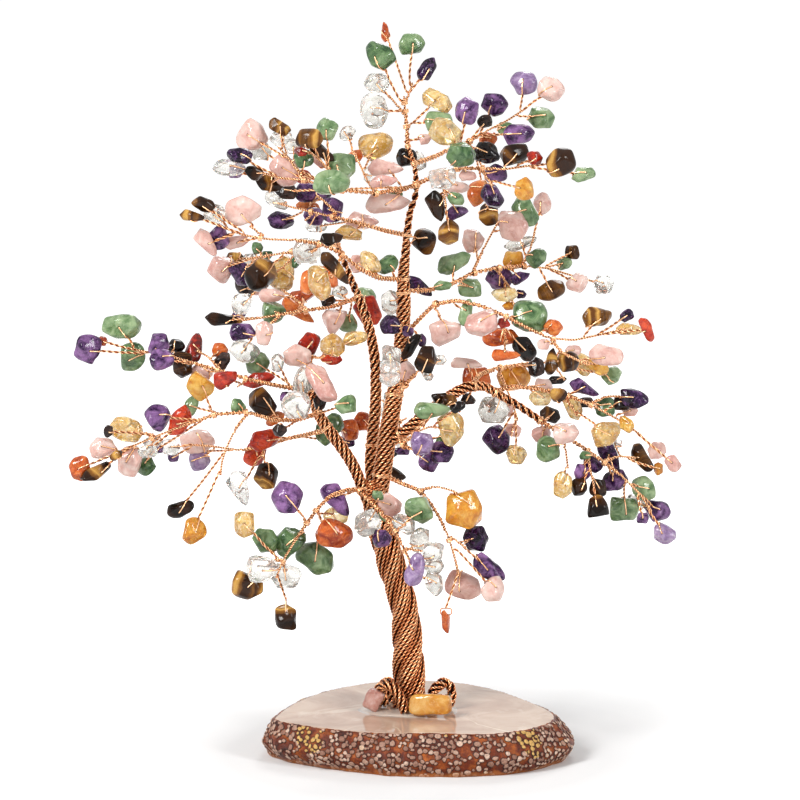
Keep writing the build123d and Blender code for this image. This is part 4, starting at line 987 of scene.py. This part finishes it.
def make_twig(coil, line, radii, feet):
    """A bundle of a branch, wrapped round what carries it. Returns the line that can carry more."""
    foot, ahead, carrier_radius = nearest_wood(line[0])
    WOOD_LINES.append(even_steps(line, radii, CARRIER_STEP))
    strands = TWIG_STRANDS if radii.max() < TWIG_WIDEST else BRANCH_STRANDS
    line, radii = used_part(*even_steps(line, radii), feet)
    coil.bundle(*even_steps(*longer(line, radii, TWIG_RUN_IN, 0), easing=TWIG_EASING), strands=strands)
    thick = carrier_radius > THICK_OVER
    coil.wraps(foot, ahead, carrier_radius, WRAPS_ON_THICK if thick else WRAPS_ON_THIN)
    return line


def make_branch(name, stones, tree):
    """A branch with its twigs, wraps, stems and eyes, the widest solid first."""
    coil = Coil()
    parts = sorted((middle_line(*solid) for solid in solids_of(name)), key=lambda part: -part[1].max())
    feet = [line[end] for line, _ in parts for end in (0, -1)]
    own = []
    for line, radii in parts:
        if radii.max() < EYE_WIDEST:
            make_eye(coil, line, radii)
        elif radii.max() < STEM_WIDEST:
            join_stem(coil, line, np.vstack(own), stones, tree)
        else:
            if name in TIP_BRANCHES and not own:
                tip = bundle_line(TIP_BRANCHES[name])[0][-1]
                line, radii = np.vstack((tip, line)), np.concatenate((radii[:1], radii))
            own.append(make_twig(coil, line, radii, feet))
    coil.piece(name + "_wires", name)


# The agate. Its rows run from the middle of its face, over the rind, to that of its underside
RIM_STEPS = 1200
WIDEST_LEVEL = 6 * MM
RAGGED_DEPTH = 1.4 * MM
RAGGED_WAVES = (5, 9, 14, 23, 37)
FACE_SHARES = np.linspace(0.02, 0.96, 10)
ROUND_EDGE = 0.7 * MM
# Each row of the round edge: degrees turned, and the share of rind
EDGE_ROWS = ((0, 0.25), (25, 0.4), (50, 0.6), (70, 0.85))
RIND_ROWS = 60
ROUND_SHARE = 0.35
UNDERCUT_POWER = 1.5
UNDER_SHARES = (0.985, 0.9, 0.5, 0.05)

# Granules. Each kind of waves has a count and a fineness, in radians for a metre
GRANULE_RADII = (0.65 * MM, 1.25 * MM)
GRANULE_POWER = 1.3
GRANULE_SPACING = 0.84
GRANULE_TRIES = 16000
NEAR_GRANULES = 3
GRANULE_LIFT = 0.6 * MM
GRANULE_HUES = (0, 0.8)
LANES = (8, 420)
BARE_WITHIN, BARE_OVER = 0.62, 2.2
PATCHES = (6, 150)
YELLOW_OVER = 3.7
WARP_COUNT, WARP_FINENESS, WARP_REACH = 9, 1500, 0.13 * MM
GRIT_COUNT, GRIT_FINENESS, GRIT_SHARE = 14, 420, 0.16
LOW_FADE = 1.5 * MM
HIGH_FADE = 0.6 * MM
RISE = 0.25

# The glue. Each wave of its rim has a share, a count and a phase
GLUE_STEPS = 160
GLUE_SHARES = np.linspace(0.04, 1, 14)
GLUE_UNDER_SHARES = (1, 0.05)
GLUE_FLATNESS, GLUE_FALL = 5, 0.6
GLUE_WAVES = ((0.05, 3, 0.6), (0.04, 7, 2))
GLUE_LIFT = 0.01 * MM


def rim_outline(corners, height, angles, middle):
    """The slab's reach from its middle at a level, at each angle."""
    rim = corners[np.abs(corners[:, 2] - height) < SAME_LEVEL][:, :2] - middle
    turns = np.arctan2(rim[:, 1], rim[:, 0])
    order = np.argsort(turns)
    return np.interp(angles, turns[order], lengths(rim)[order], period=math.tau)


def waves(points, count, fineness):
    """A sum of random waves at each point."""
    ways = chance.normal(size=(3, count)) * fineness
    return np.sin(points @ ways + chance.uniform(0, RANDOM_TURN, count)).sum(axis=1)


def granules(points):
    """How far the granules stand out at each point, from 0 to 1, and their hues."""
    middles, sizes = np.empty((0, 3)), np.empty(0)
    lanes = waves(points, *LANES)
    patches = waves(points, *PATCHES)
    warp = chance.normal(size=(3, WARP_COUNT)) * WARP_FINENESS
    bends = chance.uniform(-1, 1, (WARP_COUNT, 3)) * WARP_REACH
    covered = (np.abs(lanes) > BARE_WITHIN) & (lanes < BARE_OVER)
    smallest, largest = GRANULE_RADII
    for k in chance.permutation(len(points))[:GRANULE_TRIES]:
        size = smallest + (largest - smallest) * chance.uniform() ** GRANULE_POWER
        gaps = lengths(middles - points[k])
        if covered[k] and (gaps > GRANULE_SPACING * (sizes + size)).all():
            middles = np.vstack((middles, points[k]))
            sizes = np.append(sizes, size)
    tree = search_tree(middles)
    hues = chance.uniform(*GRANULE_HUES, len(middles))
    height, hue = np.zeros(len(points)), np.zeros(len(points))
    for k, point in enumerate(points + np.sin(points @ warp) @ bends):
        for _, number, gap in tree.find_n(point, NEAR_GRANULES):
            here = 1 - (gap / sizes[number]) ** 2
            if here > 0 and math.sqrt(here) > height[k]:
                height[k], hue[k] = math.sqrt(here), hues[number]
    return height, np.where(patches > YELLOW_OVER, 1.0, hue)


def slab_rows(top, wide, under, ragged, levels):
    """The rows of the slab's skin: the reach at each angle, the level and the share of rind."""
    top_level, wide_level, under_level = levels
    rows = [((top - ROUND_EDGE) * share, top_level, 0.0) for share in FACE_SHARES]
    for turn, mark in EDGE_ROWS:
        turn = math.radians(turn)
        level = top_level - ROUND_EDGE * (1 - math.cos(turn))
        rows.append((top - ROUND_EDGE * (1 - math.sin(turn)), level, mark))
    knee = top_level - wide_level
    for share in np.linspace(0, 1, RIND_ROWS)[1:]:
        depth = share * (top_level - under_level)
        if depth < knee:
            bulge = math.sin(math.pi * depth / knee / 2) * ROUND_SHARE + depth / knee * (1 - ROUND_SHARE)
            reach = top + (wide - top) * bulge
        else:
            low_share = (depth - knee) / (top_level - under_level - knee)
            reach = wide + (under - wide) * low_share ** UNDERCUT_POWER
        rows.append((reach + ragged * min(depth / knee, 1), top_level - depth, 1.0))
    return rows + [((under + ragged) * share, under_level, 1.0) for share in UNDER_SHARES]


def make_base():
    """The slice of agate, with a smooth face and granules on its rind."""
    corners = solids_of("agate_base")[0][0]
    heights = sorted({round(float(z), 5) for z in corners[:, 2]}, reverse=True)
    levels = (heights[0], min(heights, key=lambda z: abs(z - WIDEST_LEVEL)), heights[-1])
    top_level, _, under_level = levels
    middle = middle_of(corners[np.abs(corners[:, 2] - top_level) < SAME_LEVEL])[:2]
    angles = np.linspace(-math.pi, math.pi, RIM_STEPS, endpoint=False)
    outlines = [rim_outline(corners, z, angles, middle) for z in levels]
    phases = chance.uniform(0, math.tau, len(RAGGED_WAVES))
    ragged = np.mean([np.sin(k * angles + phase) for k, phase in zip(RAGGED_WAVES, phases)], axis=0)
    ragged = (ragged - ragged.max()) / np.ptp(ragged) * RAGGED_DEPTH
    ways = np.column_stack((np.cos(angles), np.sin(angles)))
    rows = slab_rows(*outlines, ragged, levels)
    points = np.vstack([
        np.column_stack((middle + ways * reach[:, None], np.full(RIM_STEPS, level)))
        for reach, level, _ in rows
    ])
    rind = np.repeat([share for _, _, share in rows], RIM_STEPS)
    outer = rind == 1
    outer[-len(UNDER_SHARES) * RIM_STEPS:] = False
    skin = points[outer]
    granule, hue = np.zeros(len(points)), np.zeros(len(points))
    granule[outer], hue[outer] = granules(skin)
    outward = np.column_stack((np.tile(ways, (len(skin) // RIM_STEPS, 1)), np.full(len(skin), RISE)))
    lift = np.clip((skin[:, 2] - under_level) / LOW_FADE, 0, 1)
    lift *= np.clip((top_level - skin[:, 2]) / HIGH_FADE, 0, 1) * GRANULE_LIFT
    grit = np.sin(skin @ (chance.normal(size=(3, GRIT_COUNT)) * GRIT_FINENESS)).sum(axis=1) * GRIT_SHARE
    points[outer] = skin + unit(outward) * ((granule[outer] + grit) * lift)[:, None]
    points[:, 2] = np.clip(points[:, 2], under_level, top_level)
    rings, faces = ring_sheet(len(rows), RIM_STEPS)
    marks = {"rind": rind, "granule": granule, "hue": hue}
    piece = make_piece("agate_slice", points, faces, TREE_BODY, agate_material(), marks)
    close_ring(piece, (rings[0], rings[-1][::-1]))
    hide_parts("agate_base")


def make_glue():
    """A clear puddle with an uneven rim, under the tree's foot."""
    low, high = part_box("glue_pad")
    middle = (low + high) / 2
    half = (high - low) / 2
    angles = np.linspace(-math.pi, math.pi, GLUE_STEPS, endpoint=False)
    uneven = 1.0
    for share, count, phase in GLUE_WAVES:
        uneven = uneven - share * (1 + np.sin(count * angles + phase)) / 2
    ways = np.column_stack((np.cos(angles) * half.x, np.sin(angles) * half.y)) * uneven[:, None]

    def ring(share, level):
        return np.column_stack((ways * share + (middle.x, middle.y), np.full(GLUE_STEPS, level)))

    swell = (high.z - low.z) * (1 - GLUE_SHARES ** GLUE_FLATNESS) ** GLUE_FALL
    rows = [ring(share, low.z + rise) for share, rise in zip(GLUE_SHARES, swell)]
    rows += [ring(share, low.z + GLUE_LIFT) for share in GLUE_UNDER_SHARES]
    rings, faces = ring_sheet(len(rows), GLUE_STEPS)
    piece = make_piece("glue_puddle", np.vstack(rows), faces, TREE_BODY, glue_material())
    close_ring(piece, (rings[0], rings[-1][::-1]))
    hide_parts("glue_pad")


# Floor, light, and the camera as in the photograph
VIEW_PITCH = math.radians(8)
VIEW_DISTANCE = 1.3
AIM = Vector((-0.00657, 0, 0.1297))
LENS = 162.5
CLIP = (0.05, 60)
WHITE = (1, 1, 1, 1)
FLOOR_HALF = 12
FLOOR_LEVEL = -0.05 * MM
FLOOR_PAINT = (0.8, 0.8, 0.8, 1)
# The floor is white to the eye, but less so near the object, where its shadow is
GLOW_REACH = (0.07, 0.2)
GLOW_SHARES = (0.02, 0.75)
WORLD_LIGHT = 0.38
LAMP_AIM = Vector((0, 0, 0.13))
# Each lamp: its place, its width and height, and its power
LAMPS = {
    "key": ((-0.75, -0.75, 0.85), (0.36, 0.46), 15),
    "fill": ((0.8, -0.7, 0.55), (0.24, 0.42), 6),
    "back": ((0.2, 0.8, 0.9), (0.4, 0.3), 3),
}


def make_floor():
    g = material_graph("white_floor")
    strength = g.times(g.seen(), g.span(g.length(g.place()), *GLOW_REACH, *GLOW_SHARES))
    paint = g.add("ShaderNodeBsdfDiffuse", {"Color": FLOOR_PAINT}).outputs[0]
    glow = g.add("ShaderNodeEmission", {"Color": WHITE, "Strength": strength}).outputs[0]
    material = g.finish(g.add("ShaderNodeAddShader", {0: paint, 1: glow}).outputs[0])
    mesh = bpy.data.meshes.new("floor")
    turns = ((-1, -1), (1, -1), (1, 1), (-1, 1))
    corners = [(x * FLOOR_HALF, y * FLOOR_HALF, 0) for x, y in turns]
    mesh.from_pydata(corners, [], [(0, 1, 2, 3)])
    mesh.materials.append(material)
    floor = add_object("floor", mesh)
    floor.location.z = FLOOR_LEVEL


def make_light():
    """A pale world, white where it is seen, and the lamps."""
    world = bpy.data.worlds.new("studio")
    scene.world = world
    g = Graph(world)
    strength = g.span(g.seen(), 0.0, 1.0, WORLD_LIGHT, 1.0)
    back = g.add("ShaderNodeBackground", {"Color": WHITE, "Strength": strength}).outputs[0]
    g.add("ShaderNodeOutputWorld", {"Surface": back})
    for name, (place, size, power) in LAMPS.items():
        light = bpy.data.lights.new(name, "AREA")
        light.shape = "RECTANGLE"
        light.size, light.size_y = size
        light.energy = power
        lamp = add_object(name, light)
        lamp.location = place
        lamp.rotation_euler = (LAMP_AIM - Vector(place)).to_track_quat("-Z", "Y").to_euler()


def make_camera():
    view = bpy.data.cameras.new("camera")
    view.lens = LENS
    view.clip_start, view.clip_end = CLIP
    camera = add_object("camera", view)
    forward = Vector((0, math.cos(VIEW_PITCH), -math.sin(VIEW_PITCH)))
    camera.location = AIM - forward * VIEW_DISTANCE
    camera.rotation_euler = (math.pi / 2 - VIEW_PITCH, 0, 0)
    scene.camera = camera
    scene.view_settings.view_transform = "Standard"


make_camera()
make_light()
make_floor()
make_base()
make_glue()

# The stones on stems are kept, to find which one each stem carries
chip_nodes = sorted(name for name in frame["nodes"] if "_chips" in name)
all_stones = []
for node in chip_nodes:
    all_stones += make_stones(node, TREE_BODY)
for node in FOOT_CHIPS:
    make_stones(node, TREE_BODY)
for node in DROPS:
    make_stones(node, node)

centres = search_tree([stone.centre for stone in all_stones])

make_trunk_and_boughs()
make_roots()
others = {*chip_nodes, *RUN_ON, *ROOTS, *BASE_NODES, *FOOT_CHIPS, *DROPS}
for node in sorted(set(frame["nodes"]) - others):
    make_branch(node, all_stones, centres)
